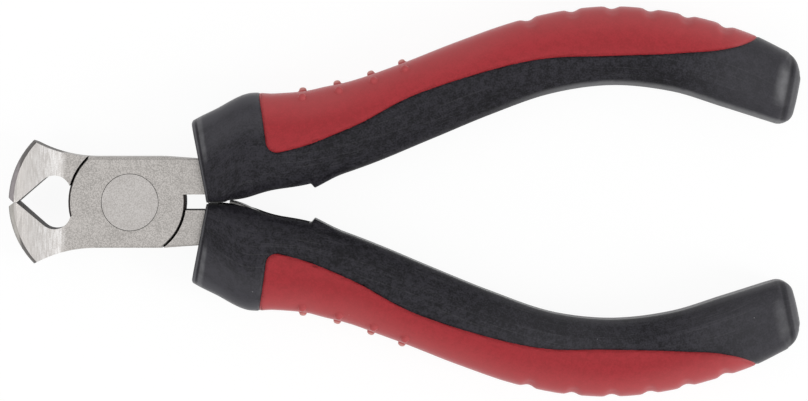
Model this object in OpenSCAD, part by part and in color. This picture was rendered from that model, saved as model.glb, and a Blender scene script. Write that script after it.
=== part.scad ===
// End cutting nippers: two lapped levers on one flush rivet, sprung by a double leaf,
// with two-material grips. The jaws point to -X, the handles to +X, and the tool lies flat.
// Each half is drawn once about the pivot. The lower half is the upper one turned over.

/* [Reach] */
// From the pivot axis to the foremost point of the jaws
jaw_reach = 17.8; // [16:0.1:22]
// From the pivot axis to the far end of the grips
handle_reach = 97.4; // [88:0.5:120]

/* [Joint] */
// Width of the joint across the tool
joint_width = 13.2; // [12:0.1:15]
// Thickness of the joint through both laps
joint_thickness = 7; // [6:0.1:8]
// Radius of a lap's rounded end beside the jaw
lap_front_r = 8.95; // [8.6:0.05:9.2]
// Radius of a lap's rounded end beside the handle
lap_rear_r = 8.1; // [7.6:0.05:8.6]
// Gap between a lap's rounded end and the shoulder that it turns in
shoulder_gap = 0.1; // [0.06:0.02:0.3]
// Gap between the faces of the two laps
lap_fit = 0.04; // [0.02:0.01:0.1]
// Chamfer along the edges of the joint beside the handles
joint_chamfer = 0.45; // [0.2:0.05:0.7]
// Chamfer along the edges of the joint beside the jaws
back_chamfer = 0.2; // [0.1:0.05:0.4]
// Width of the steep bevel round the ends of the laps
lap_bevel_w = 0.3; // [0.1:0.05:0.4]
// Height of that bevel
lap_bevel_h = 0.6; // [0.3:0.05:0.9]

/* [Pivot rivet] */
// Diameter of the flush rivet heads
rivet_head_d = 8.3; // [7.4:0.1:9]
// Depth of a rivet head
rivet_head_h = 1.2; // [0.8:0.1:1.8]
// Diameter of the rivet between its heads
rivet_shank_d = 5.2; // [4:0.1:6]
// Running clearance all round the rivet
rivet_fit = 0.03; // [0.02:0.01:0.08]
// Chamfer on the rims of the rivet heads
rivet_chamfer = 0.06; // [0.04:0.01:0.2]

/* [Jaws] */
// Radius of the rounded front of the head, seen from above
head_r = 12.8; // [12:0.1:16]
// Radius of the crown across the front of the head, seen from the side
crown_r = 11.4; // [9:0.1:12.5]
// Length of the cutting edges
edge_length = 10.4; // [9:0.1:11.5]
// Where the head starts to widen, in front of the pivot axis
flare_start = 10; // [9.4:0.1:11]
// Radius of the hollow sweep on the back of each jaw
back_sweep_r = 18.4; // [16:0.1:24]
// Where the back of each jaw starts to sweep out, in front of the pivot axis
back_sweep_start = 5; // [4:0.1:5.4]
// Gap left between the closed cutting edges
edge_gap = 0.05; // [0.02:0.01:0.1]
// Distance from the front of the head back to the cutting edges
edge_setback = 1; // [0.8:0.05:1.3]
// Flat left on each cutting edge
edge_land = 0.42; // [0.2:0.02:0.6]
// Height of the bevel in front of each cutting edge
bevel_h = 0.7; // [0.4:0.05:1]

/* [Throat] */
// Radius of the rounded hollow behind the cutting edges
throat_r = 2.4; // [2.2:0.05:2.5]
// Distance of the hollow's centre in front of the pivot axis
throat_x = 10.95; // [10.8:0.05:11.1]
// Distance of the hollow's centre from the middle of the tool
throat_y = 1.5; // [1.4:0.05:1.7]
// Half height of the throat where it meets the laps
throat_mouth = 1.6; // [1.4:0.05:1.8]

/* [Shank and tang] */
// Distance of each shank from the middle of the tool, half the height of the window
shank_offset = 1.15; // [0.8:0.05:1.3]
// Where the outer edge of the shank leaves the full width of the joint
shank_taper_start = 5; // [4:0.1:5.6]
// Thickness of the tang inside the grip
tang_thickness = 5; // [4:0.1:6]
// Clearance between the tang and the sleeve
tang_fit = 0.06; // [0.03:0.01:0.12]

/* [Grips] */
// From the pivot axis to the front of the grips at their inner edge
grip_front = 11.2; // [10.8:0.1:13]
// Largest rise of the grip's inner edge from its front
grip_bow = 16.85; // [14:0.1:20]
// Width of the grip at the top of its bow
grip_width = 11.3; // [10.6:0.1:13]
// Thickness of the grip between the flats it lies on
grip_thickness = 11.6; // [10.8:0.1:13]
// How far the rounded faces would stand above those flats
flat_cut = 0.2; // [0.1:0.05:0.4]
// Gap between the two grips behind the joint
grip_gap = 0.3; // [0.2:0.05:0.6]
// Rounding of the grip's front rim
front_round = 0.5; // [0.3:0.05:0.8]
// Rounding of the grip's far end
end_round = 2.2; // [1.6:0.1:3]

/* [Inlay] */
// Thickness of the soft inlay
inlay_t = 1.5; // [1:0.1:1.8]
// Gap between the inlay and its bed
inlay_fit = 0.05; // [0.02:0.01:0.1]
// Radius of the inlay's front corner
inlay_corner_r = 1.6; // [0.8:0.1:2.2]
// Diameter of a grip bump
bump_d = 1.1; // [0.9:0.1:1.4]
// Height of a grip bump
bump_h = 0.6; // [0.3:0.05:0.8]
// Distance from the middle row of bumps to each row beside it
bump_row_gap = 4.5; // [2.6:0.1:4.6]
// Depth of the scallops on the back of the grip
scallop_depth = 0.38; // [0.2:0.02:0.6]
// Radius of a scallop
scallop_r = 1.4; // [1:0.1:2.2]

/* [Leaf springs] */
// Thickness of a leaf
leaf_t = 0.4; // [0.3:0.05:0.5]
// Width of a leaf
leaf_w = 5.2; // [4:0.1:6]
// Clearance round a leaf in its slot
leaf_fit = 0.12; // [0.08:0.01:0.2]
// Depth of a closed leaf below the grip's inner edge
leaf_sink = 0.28; // [0.15:0.01:0.4]
// Diameter of the rivet that holds a leaf
leaf_rivet_d = 1.4; // [1:0.1:1.8]
// Diameter of that rivet's head
leaf_rivet_head_d = 2.4; // [2:0.1:3]
// Height of that rivet's head
leaf_rivet_head_h = 0.4; // [0.3:0.05:0.5]
// Depth of the rivet in the tang
leaf_rivet_depth = 2.5; // [1.5:0.1:3.5]
// Clearance round the rivet in the leaf and the tang
leaf_rivet_fit = 0.03; // [0.01:0.01:0.06]
// Height of the boss that covers a leaf's root
boss_h = 0.75; // [0.4:0.05:1]
// Width of the boss
boss_w = 7.4; // [6.6:0.1:8]
// Rounding of the boss's crest
boss_round = 0.2; // [0.1:0.05:0.3]

/* [Hidden] */

// Extra length of every cut, so that no face is left behind
cut = 0.5;
// Fineness of true circles, and of the circles that a blended shape is made from
$fn = 96;
small_fn = 12;
// Direction from the middle of the throat's hollow in which it opens towards the laps
throat_side_angle = -15;
// How far the wall towards the laps is drawn on into the hollow, as a share of its length
side_share = 0.3;

half_joint = joint_width / 2;
half_thick = joint_thickness / 2;
grip_length = handle_reach - grip_front;
rest_height = grip_thickness / 2;
pivot_x = (jaw_reach - handle_reach) / 2;

// Stations along the grip, front to end. Each row gives the inner edge's distance as a share of
// grip_length, its rise as a share of grip_bow, the width as a share of grip_width, and the lean
// of the section in degrees.
grip_shares = [
  [0.000, 0.000, 1.055, 11],
  [0.028, 0.003, 1.186, 5],
  [0.063, 0.024, 1.345, -1],
  [0.108, 0.089, 1.253, -2],
  [0.178, 0.151, 1.208, 1],
  [0.275, 0.315, 1.110, 18],
  [0.376, 0.531, 1.053, 25],
  [0.478, 0.748, 1.027, 24],
  [0.578, 0.926, 1.004, 18],
  [0.681, 1.000, 1.000, 3],
  [0.782, 0.947, 0.988, -12],
  [0.870, 0.811, 0.997, -17],
  [0.958, 0.668, 0.920, -11]
];
// At the same stations: thickness of the grip as a share of its greatest thickness
thick_shares = [0.93, 0.97, 0.99, 1, 1, 1, 1, 1, 1, 1, 1, 1, 0.97];
// At the same stations: how square the section is, from 2 for an ellipse upwards
square_shares = [5, 4.6, 4.2, 3.8, 3.4, 3.2, 3.1, 3.1, 3.1, 3.1, 3.1, 3.1, 3.2];
// At the same stations: how much thickness the facet on the inner side takes off at the edge
facet_shares = [0.05, 0.08, 0.14, 0.2, 0.24, 0.26, 0.28, 0.3, 0.32, 0.34, 0.32, 0.2, 0.06];
// How far the facet reaches across the section from the inner edge, as a share of the width
facet_reach_share = 0.24;
// At the same stations: edge of the inlay across the grip, from 0 inside to 1 outside
inlay_shares = [0.3, 0.33, 0.36, 0.38, 0.43, 0.49, 0.58, 0.54, 0.46, 0.372, 0.5, 0.84, 1.64];
// At the same stations: inner and outer edge of the tang across the grip
tang_shares = [
  [0.085, 0.52], [0.086, 0.48], [0.09, 0.44], [0.095, 0.46], [0.092, 0.48], [0.1, 0.54],
  [0.2, 0.66], [0.26, 0.7], [0.28, 0.7], [0.3, 0.68], [0.34, 0.64], [0.4, 0.6], [0.4, 0.6]
];

// Places along the grip are shares of the way from the first station to the last.
// Where the full thickness of the shank ends, and where the tang ends
shank_end_share = 0.0375;
tang_end_share = 0.808;
// Where the inlay starts at its inner corner, starts outside, and ends
inlay_start_share = 0.2383;
inlay_start_out_share = 0.185;
inlay_end_share = 0.9458;
// How far the cutter of the inlay reaches across the grip
inlay_out_share = 1.4;
// Where the four rings of bumps and the six scallops are
bump_place_shares = [0.3133, 0.4033, 0.4633, 0.5092];
scallop_place_shares = [0.6692, 0.715, 0.755, 0.7933, 0.8333, 0.885];
// Diameter of a bump at its shoulder and at its top, and height of the shoulder, as shares
bump_shares = [0.8, 0.4, 0.6];
// Half length of a scallop along the thickness, as a share of half the thickness
scallop_span_share = 0.62;
// How fast the loft takes up the rounding of its front rim
front_fade = 8;
// Where a leaf's tip, the mouth of its slot, its rivet and its root are
leaf_tip_share = 0.1083;
leaf_mouth_share = 0.3275;
leaf_rivet_share = 0.3617;
leaf_root_share = 0.385;
// Where the slot runs out in front and where it ends behind the root
slot_front_share = 0.05;
slot_back_share = 0.3892;
// Where a leaf starts to sink from the slot's depth to the tang, and where it rests on the tang
sink_from_share = 0.2858;
sink_to_share = 0.345;
// How far the lower leaf's tip stands out of its slot, in leaf thicknesses, and where it leaves
tip_lift_share = 1.9;
tip_lift_from_share = 0.2417;
// Where the boss starts, where its crest is and where it runs out
boss_front_share = 0.3308;
boss_crest_share = 0.3375;
boss_back_share = 0.3792;

ring_steps = 3;
outer_rings = 28;
outer_points = 22;
core_rings = 16;
core_points = 14;
edge_steps = 24;

function mix(a, b, t) = a + (b - a) * t;

// A smooth curve through the values of a list, one value per station, at a place from 0 to 1
function curve(v, place) =
  let (u = place * (len(v) - 1), i = min(floor(u), len(v) - 2), t = u - i)
  let (p1 = v[i], p2 = v[i + 1])
  let (p0 = i > 0 ? v[i - 1] : 2 * p1 - p2)
  let (p3 = i + 2 < len(v) ? v[i + 2] : 2 * p2 - p1)
  p1 + t * (p2 - p0 + t * (2 * p0 - 5 * p1 + 4 * p2 - p3 + t * (3 * (p1 - p2) + p3 - p0))) / 2;

// Section line at a place: inner edge, direction to the outer edge, and width
function station(u) = curve(grip_shares, u);
function inner(u) =
  let (s = station(u))
  [grip_front + s[0] * grip_length, grip_gap / 2 + s[1] * grip_bow];
function across(u) = let (lean = station(u)[3]) [-sin(lean), cos(lean)];
function width(u) = station(u)[2] * grip_width;
// A point at a share of the way across, the middle, and a point a distance in from the inner edge
function at(u, share) = inner(u) + share * width(u) * across(u);
function middle(u) = inner(u) + width(u) / 2 * across(u);
function depth_at(u, d) = inner(u) + d * across(u);
// Direction along the grip, square to its section line
function ahead(u) = let (a = across(u)) [a[1], -a[0]];

// Height of the section above the middle at s, from -1 inside to 1 outside, for half thickness 1
function facet(u, s) =
  1 - curve(facet_shares, u) * max(0, (-s - 1 + facet_reach_share * 2) / (facet_reach_share * 2));
function power(v, p) = sign(v) * pow(abs(v), p);

// One ring of a loft: the section at place u, drawn in by inset and moved along by shift
function ring(u, inset, shift, n) =
  let (half_w = width(u) / 2 - inset, mid = middle(u) + shift * ahead(u), dir = across(u))
  let (half_t = curve(thick_shares, u) * (rest_height + flat_cut) - inset)
  let (p = 2 / curve(square_shares, u))
  [for (k = [0 : n - 1])
    let (a = 360 * (k + 0.5) / n, s = power(cos(a), p), z = power(sin(a), p) * facet(u, s) * half_t)
    let (q = mid + s * half_w * dir)
    [q[0], q[1], max(-rest_height + inset, min(rest_height - inset, z))]];

// Rings of the grip's whole form, drawn in by inset, with rounded rims at both ends
function grip_rings(inset, n, count) = concat(
  [for (k = [0 : ring_steps - 1])
    let (a = 90 * k / ring_steps)
    ring(0, inset + front_round * (1 - sin(a)), inset + front_round * (1 - cos(a)), n)],
  [for (k = [0 : count])
    ring(k / count, inset, (front_round + inset) * pow(1 - k / count, front_fade), n)],
  [for (k = [1 : ring_steps + 1])
    let (a = 90 * k / (ring_steps + 1))
    ring(1, inset + end_round * (1 - cos(a)), (end_round - inset) * sin(a), n)]
);

// A closed solid over a list of rings
module loft(rings) {
  n = len(rings[0]);
  m = len(rings);
  sides = [for (i = [0 : m - 2], k = [0 : n - 1], h = [0, 1])
    let (a = i * n + k, b = i * n + (k + 1) % n)
    h == 0 ? [a, b + n, b] : [a, a + n, b + n]];
  front = [for (k = [1 : n - 2]) [0, k, k + 1]];
  end = [for (k = [1 : n - 2]) [(m - 1) * n, (m - 1) * n + k + 1, (m - 1) * n + k]];
  polyhedron(points = [for (r = rings) each r], faces = concat(sides, front, end));
}

module prism(height) {
  translate([0, 0, -height / 2]) linear_extrude(height) children();
}

// Puts a half into the tool: the pivot at its place, and the lower half turned over
module upper() {
  translate([pivot_x, 0, rest_height]) children();
}

module lower() {
  translate([pivot_x, 0, rest_height]) rotate([180, 0, 0]) children();
}

// The hollow behind the cutting edge, with its straight wall tangent to its round end
module throat_outline() {
  tip = [-(jaw_reach - edge_setback - edge_land), 0];
  centre = [-throat_x, -throat_y];
  run = centre - tip;
  reach = norm(run);
  turn = atan2(run[1], run[0]) - asin(throat_r / reach);
  touch = tip + sqrt(reach * reach - throat_r * throat_r) * [cos(turn), sin(turn)];
  side = centre + throat_r * [cos(throat_side_angle), sin(throat_side_angle)];
  mouth = [-lap_front_r + throat_mouth - cut, -throat_mouth];
  translate(centre) circle(r = throat_r);
  polygon([tip + [0, cut], tip, touch, centre, side + side_share * (side - mouth), mouth, [mouth[0], cut]]);
}

module jaw_outline() {
  far = head_r + cut;
  difference() {
    translate([-jaw_reach - cut, -far]) square([jaw_reach + cut - back_sweep_start, far - edge_gap / 2]);
    translate([-back_sweep_start, -half_joint - back_sweep_r]) circle(r = back_sweep_r);
    throat_outline();
    polygon([
      [-jaw_reach - cut, cut], [-jaw_reach - cut, -bevel_h - bevel_h * cut / edge_setback],
      [-jaw_reach + edge_setback, -edge_gap / 2], [-jaw_reach + edge_setback, cut]
    ]);
  }
}

// How the head widens towards its edge, seen from the side
module flare_profile() {
  deep = edge_length / 2 + cut;
  run = jaw_reach - flare_start;
  rise = edge_length / 2 - half_thick;
  flare_r = (run * run + rise * rise) / (2 * rise);
  difference() {
    translate([-jaw_reach - cut, -deep]) square([jaw_reach + cut, 2 * deep]);
    for (side = [-1, 1]) {
      translate([-flare_start, side * (half_thick + flare_r)]) circle(r = flare_r);
      translate([-flare_start, side > 0 ? half_thick : -half_thick - deep])
        square([flare_start + cut, deep]);
    }
  }
}

// The rounded front of the head, turned about an upright axis
module head_turning() {
  translate([head_r - jaw_reach, 0, 0]) rotate_extrude() intersection() {
    translate([0, -edge_length]) square([head_r, 2 * edge_length]);
    translate([head_r - crown_r, 0]) circle(r = crown_r);
  }
}

module jaw() {
  intersection() {
    prism(2 * edge_length) jaw_outline();
    rotate([90, 0, 0]) prism(2 * head_r + 4 * cut) flare_profile();
    head_turning();
  }
}

// One rounded end of a lap, bevelled round its outer rim
module lap_end(r, side) {
  straight = half_thick - lap_fit / 2 - lap_bevel_h;
  intersection() {
    translate([0, 0, lap_fit / 2]) union() {
      cylinder(r = r, h = straight);
      translate([0, 0, straight]) cylinder(r1 = r, r2 = r - lap_bevel_w, h = lap_bevel_h);
    }
    translate([side < 0 ? -r - cut : 0, -half_joint, 0]) cube([r + cut, joint_width, joint_thickness]);
  }
}

// Inner or outer edge of the tang between two places, for side 0 or 1
function tang_edge(side, from, to) =
  [for (k = [0 : edge_steps])
    let (u = mix(from, to, k / edge_steps)) at(u, curve(tang_shares, u)[side])];

function backwards(v) = [for (k = [len(v) - 1 : -1 : 0]) v[k]];

module tang_outline(to) {
  polygon(concat(
    [[0, half_joint], [0, shank_offset]],
    tang_edge(0, 0, to),
    backwards(tang_edge(1, 0, to)),
    [[shank_taper_start, half_joint]]
  ));
}

module chamfer_bar(size, from, to, y, z) {
  translate([from, y, z]) rotate([90, 0, 90]) linear_extrude(to - from)
    circle(r = size, $fn = 4);
}

// Depth of the leaf's middle below the inner edge of the grip: in its slot, and on the tang at its root
leaf_slot_depth = leaf_sink + leaf_t / 2;
leaf_root_depth = curve(tang_shares, leaf_rivet_share)[0] * width(leaf_rivet_share) - leaf_t / 2 - tang_fit;
// The run of the leaf on the tang, which its rivet stands square to
leaf_run = depth_at(leaf_root_share, leaf_root_depth) - depth_at(sink_to_share, leaf_root_depth);
leaf_head_from = leaf_t / 2 + leaf_rivet_fit + leaf_rivet_head_h;

// A pin or its bore on the axis of a leaf's rivet, between two distances from the leaf's middle
module leaf_rivet_rod(d, from, to) {
  p = depth_at(leaf_rivet_share, leaf_root_depth);
  translate([p[0], p[1], 0]) rotate([-90, 0, atan2(leaf_run[1], leaf_run[0])]) translate([0, 0, from])
    cylinder(d = d, h = to - from);
}

module lever() {
  difference() {
    union() {
      jaw();
      lap_end(lap_front_r, -1);
      lap_end(lap_rear_r, 1);
      prism(joint_thickness) tang_outline(shank_end_share);
      prism(tang_thickness) tang_outline(tang_end_share);
    }
    // The other lever's lap turns in this half
    translate([0, 0, -half_thick - cut]) intersection() {
      cylinder(r = lap_front_r + shoulder_gap, h = half_thick + cut + lap_fit / 2);
      translate([-2 * jaw_reach, -head_r, -cut]) cube([2 * jaw_reach, 2 * head_r, half_thick + 3 * cut]);
    }
    translate([0, 0, -half_thick - cut]) intersection() {
      cylinder(r = lap_rear_r + shoulder_gap, h = half_thick + cut + lap_fit / 2);
      translate([0, -head_r, -cut]) cube([2 * jaw_reach, 2 * head_r, half_thick + 3 * cut]);
    }
    cylinder(d = rivet_shank_d + 2 * rivet_fit, h = half_thick + cut);
    translate([0, 0, half_thick - rivet_head_h - rivet_fit])
      cylinder(d = rivet_head_d + 2 * rivet_fit, h = rivet_head_h + rivet_fit + cut);
    chamfer_bar(joint_chamfer, -lap_front_r, grip_front, half_joint, half_thick);
    chamfer_bar(joint_chamfer, 0, grip_front, half_joint, -half_thick);
    chamfer_bar(back_chamfer, -back_sweep_start, lap_rear_r, -half_joint, half_thick);
    leaf_rivet_rod(leaf_rivet_d + 2 * leaf_rivet_fit, 0, leaf_t / 2 + leaf_rivet_depth + leaf_rivet_fit);
  }
}

module pivot_rivet() {
  rim = rivet_head_d / 2;
  color("silver") upper() union() {
    prism(joint_thickness - 2 * rivet_head_h + 2 * rivet_chamfer) circle(d = rivet_shank_d);
    for (side = [0, 180]) rotate([side, 0, 0]) translate([0, 0, half_thick - rivet_head_h]) union() {
      cylinder(r = rim, h = rivet_head_h - rivet_chamfer);
      translate([0, 0, rivet_head_h - rivet_chamfer])
        cylinder(r1 = rim, r2 = rim - rivet_chamfer, h = rivet_chamfer);
    }
  }
}

// A bump on the outer side of the grip: z is its height above the middle
module bump(u, z) {
  half_t = curve(thick_shares, u) * (rest_height + flat_cut);
  p = curve(square_shares, u);
  reach = pow(1 - pow(abs(z) / half_t, p), 1 / p);
  tilt = atan2(pow(abs(z) / half_t, p - 1) / half_t, pow(reach, p - 1) / (width(u) / 2));
  q = at(u, (1 + reach) / 2);
  lean = station(u)[3];
  translate([q[0], q[1], z]) rotate([0, 0, lean]) rotate([-90 + sign(z) * tilt, 0, 0]) hull() {
    translate([0, 0, -bump_h]) cylinder(d = bump_d, h = bump_h, $fn = small_fn);
    cylinder(d1 = bump_d, d2 = bump_d * bump_shares[0], h = bump_h * bump_shares[2], $fn = small_fn);
    cylinder(d = bump_d * bump_shares[1], h = bump_h, $fn = small_fn);
  }
}

module scallop(u) {
  q = inner(u) + (width(u) + scallop_r - scallop_depth) * across(u);
  translate([q[0], q[1], 0]) hull() for (side = [-1, 1])
    translate([0, 0, side * scallop_span_share * rest_height]) sphere(r = scallop_r, $fn = 2 * small_fn);
}

// The whole outer form of a grip, before it is split into sleeve and inlay
module grip_form() {
  loft(grip_rings(0, outer_points, outer_rings));
}

module inlay_outline(grow) {
  steps = edge_steps;
  inside = [for (k = [0 : steps])
    let (u = mix(inlay_start_share, inlay_end_share, k / steps)) at(u, curve(inlay_shares, u))];
  outside = [for (k = [steps : -1 : 0])
    let (u = mix(inlay_start_out_share, inlay_end_share, k / steps)) at(u, inlay_out_share)];
  offset(delta = grow) offset(r = inlay_corner_r) offset(delta = -inlay_corner_r)
    polygon(concat(inside, outside));
}

module inlay_space(grow) {
  difference() {
    prism(2 * grip_thickness) inlay_outline(grow);
    loft(grip_rings(inlay_t + grow, core_points, core_rings));
  }
}

// The slot that a leaf lies in, open along the inner edge up to the boss
module leaf_slot() {
  open_part = [for (k = [0 : edge_steps]) mix(slot_front_share, leaf_mouth_share, k / edge_steps)];
  held_part = [for (k = [0 : edge_steps]) mix(leaf_mouth_share, slot_back_share, k / edge_steps)];
  floor_part = [for (k = [0 : 2 * edge_steps])
    mix(slot_back_share, slot_front_share, k / (2 * edge_steps))];
  half = leaf_t / 2 + leaf_fit;
  prism(leaf_w + 2 * leaf_fit) polygon(concat(
    [for (u = open_part) depth_at(u, -leaf_t)],
    [for (u = held_part) depth_at(u, seat_depth(u) - half)],
    [for (u = floor_part) depth_at(u, seat_depth(u) + half)]
  ));
}

// Depth of a leaf that lies flat in its slot, which deepens to the tang at the leaf's root
function ease(t) = let (c = max(0, min(1, t))) c * c * (3 - 2 * c);
function seat_depth(u) =
  mix(leaf_slot_depth, leaf_root_depth, ease((u - sink_from_share) / (sink_to_share - sink_from_share)));
function leaf_depth(u, lift) =
  seat_depth(u)
  - lift * leaf_t * ease((tip_lift_from_share - u) / (tip_lift_from_share - leaf_tip_share));

module leaf(lift) {
  us = [for (k = [0 : edge_steps]) mix(leaf_tip_share, leaf_root_share, k / edge_steps)];
  difference() {
    prism(leaf_w) polygon(concat(
      [for (u = us) depth_at(u, leaf_depth(u, lift) - leaf_t / 2)],
      backwards([for (u = us) depth_at(u, leaf_depth(u, lift) + leaf_t / 2)])
    ));
    leaf_rivet_rod(leaf_rivet_d + 2 * leaf_rivet_fit, -leaf_t, leaf_t);
  }
}

module leaf_rivet() {
  leaf_rivet_rod(leaf_rivet_head_d, -leaf_head_from, leaf_rivet_head_h - leaf_head_from);
  leaf_rivet_rod(leaf_rivet_d, -leaf_head_from, leaf_t / 2 + leaf_rivet_depth);
}

module boss() {
  prism(boss_w) offset(r = boss_round) offset(delta = -boss_round) polygon([
    depth_at(boss_front_share, 2 * leaf_t), depth_at(boss_front_share, 0),
    depth_at(boss_crest_share, -boss_h),
    depth_at(boss_back_share, 0), depth_at(boss_back_share, 2 * leaf_t)
  ]);
}

module sleeve() {
  difference() {
    union() {
      grip_form();
      boss();
    }
    inlay_space(0);
    prism(joint_thickness + 2 * tang_fit) offset(delta = tang_fit) tang_outline(shank_end_share);
    prism(tang_thickness + 2 * tang_fit) offset(delta = tang_fit) tang_outline(tang_end_share);
    leaf_slot();
    leaf_rivet_rod(leaf_rivet_head_d + 2 * leaf_fit, -leaf_head_from - leaf_fit, 0);
  }
}

module inlay() {
  intersection() {
    difference() {
      union() {
        grip_form();
        for (u = bump_place_shares, row = [-1, 0, 1]) bump(u, row * bump_row_gap);
      }
      for (u = scallop_place_shares) scallop(u);
    }
    inlay_space(-inlay_fit);
  }
}

module lever_upper() { color("lightsteelblue") upper() lever(); }
module lever_lower() { color("silver") lower() lever(); }
module sleeve_upper() { color("#3a393e") upper() sleeve(); }
module sleeve_lower() { color("#3a393e") lower() sleeve(); }
module inlay_upper() { color("#a83a40") upper() inlay(); }
module inlay_lower() { color("#a83a40") lower() inlay(); }
module leaf_spring_upper() { color("dimgray") upper() leaf(0); }
module leaf_spring_lower() { color("dimgray") lower() leaf(tip_lift_share); }
module spring_rivet_upper() { color("gray") upper() leaf_rivet(); }
module spring_rivet_lower() { color("gray") lower() leaf_rivet(); }

lever_upper();
lever_lower();
pivot_rivet();
sleeve_upper();
sleeve_lower();
inlay_upper();
inlay_lower();
leaf_spring_upper();
leaf_spring_lower();
spring_rivet_upper();
spring_rivet_lower();
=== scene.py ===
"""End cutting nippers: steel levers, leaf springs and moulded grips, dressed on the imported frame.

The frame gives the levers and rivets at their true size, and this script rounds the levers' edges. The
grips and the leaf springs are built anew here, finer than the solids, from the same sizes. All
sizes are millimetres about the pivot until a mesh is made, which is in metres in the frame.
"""

import logging
import math
from collections.abc import Sequence
from dataclasses import dataclass, field
from enum import Enum

import bmesh
import bpy
import numpy as np
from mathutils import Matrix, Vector


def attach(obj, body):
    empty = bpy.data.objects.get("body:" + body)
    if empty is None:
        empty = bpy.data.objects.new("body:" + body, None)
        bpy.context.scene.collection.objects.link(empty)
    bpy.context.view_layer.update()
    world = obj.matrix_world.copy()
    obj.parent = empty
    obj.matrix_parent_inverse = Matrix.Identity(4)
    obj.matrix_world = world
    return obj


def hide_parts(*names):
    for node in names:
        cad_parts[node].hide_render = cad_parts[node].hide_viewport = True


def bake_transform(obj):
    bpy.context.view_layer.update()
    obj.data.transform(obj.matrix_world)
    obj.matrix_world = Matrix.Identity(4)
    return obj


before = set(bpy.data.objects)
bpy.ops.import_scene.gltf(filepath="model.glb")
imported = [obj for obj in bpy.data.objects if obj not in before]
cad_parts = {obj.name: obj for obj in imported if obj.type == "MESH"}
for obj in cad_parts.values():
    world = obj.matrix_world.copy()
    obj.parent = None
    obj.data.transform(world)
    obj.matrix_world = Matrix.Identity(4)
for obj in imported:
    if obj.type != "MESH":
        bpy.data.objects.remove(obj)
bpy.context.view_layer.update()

MM = 0.001
PIVOT_X = -39.8
REST_HEIGHT = 5.8
HALF_TURN = math.pi
GRIP_PLACE = "grip_place"
GRIP_RIM = "grip_rim"
LOG = logging.getLogger("nippers")

Colour = tuple[float, float, float]
Triple = tuple[float, float, float]
Pair = tuple[float, float]
# Where something starts to show, shows in full, starts to fade, and is gone
Zone = tuple[float, float, float, float]
Array = np.ndarray
Stations = np.ndarray | float
Mesh = tuple[Array, list[list[int]]]


class Half(Enum):
    """The two halves of the tool. Their value is the side of the tool that their grip is on."""

    UPPER = 1
    LOWER = -1

    @property
    def word(self) -> str:
        """The half's word in the names of pieces and nodes."""
        return self.name.lower()

    @property
    def body(self) -> str:
        """The frame's body that the half's pieces ride on."""
        return f"{self.word}_half"

    @property
    def other(self) -> "Half":
        """The half across the joint."""
        return Half(-self.value)

    def place(self, points: Array) -> Array:
        """Turns points of a half, in millimetres about the pivot, into the frame.

        Args:
            points: Rows of x, y and z, drawn for the upper half.

        Returns:
            The same rows in metres in the frame.
        """
        turned = points * np.array([1.0, self.value, self.value])
        return (turned + np.array([PIVOT_X, 0.0, REST_HEIGHT])) * MM


class Slot(Enum):
    """The record's material slots."""

    FORGED = "forged_steel"
    RIVET = "rivet_steel"
    SPRING = "spring_steel"
    BLACK = "grip_black"
    RED = "grip_red"


class Value:
    """A value inside a shader, which Python's arithmetic turns into Math nodes."""

    def __init__(self, shader: "Shader", socket: bpy.types.NodeSocket) -> None:
        """Wraps an output socket of a shader's node."""
        self.shader = shader
        self.socket = socket

    def __add__(self, other: "Operand") -> "Value":
        """The sum with a value or a number."""
        return self.shader.math("ADD", self, other)

    def __radd__(self, other: "Operand") -> "Value":
        """The sum with a number on the left."""
        return self.shader.math("ADD", other, self)

    def __sub__(self, other: "Operand") -> "Value":
        """The difference from a value or a number."""
        return self.shader.math("SUBTRACT", self, other)

    def __rsub__(self, other: "Operand") -> "Value":
        """A number on the left less this value."""
        return self.shader.math("SUBTRACT", other, self)

    def __mul__(self, other: "Operand") -> "Value":
        """The product with a value or a number."""
        return self.shader.math("MULTIPLY", self, other)

    def __rmul__(self, other: "Operand") -> "Value":
        """The product with a number on the left."""
        return self.shader.math("MULTIPLY", other, self)


Operand = Value | float | int


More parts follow.
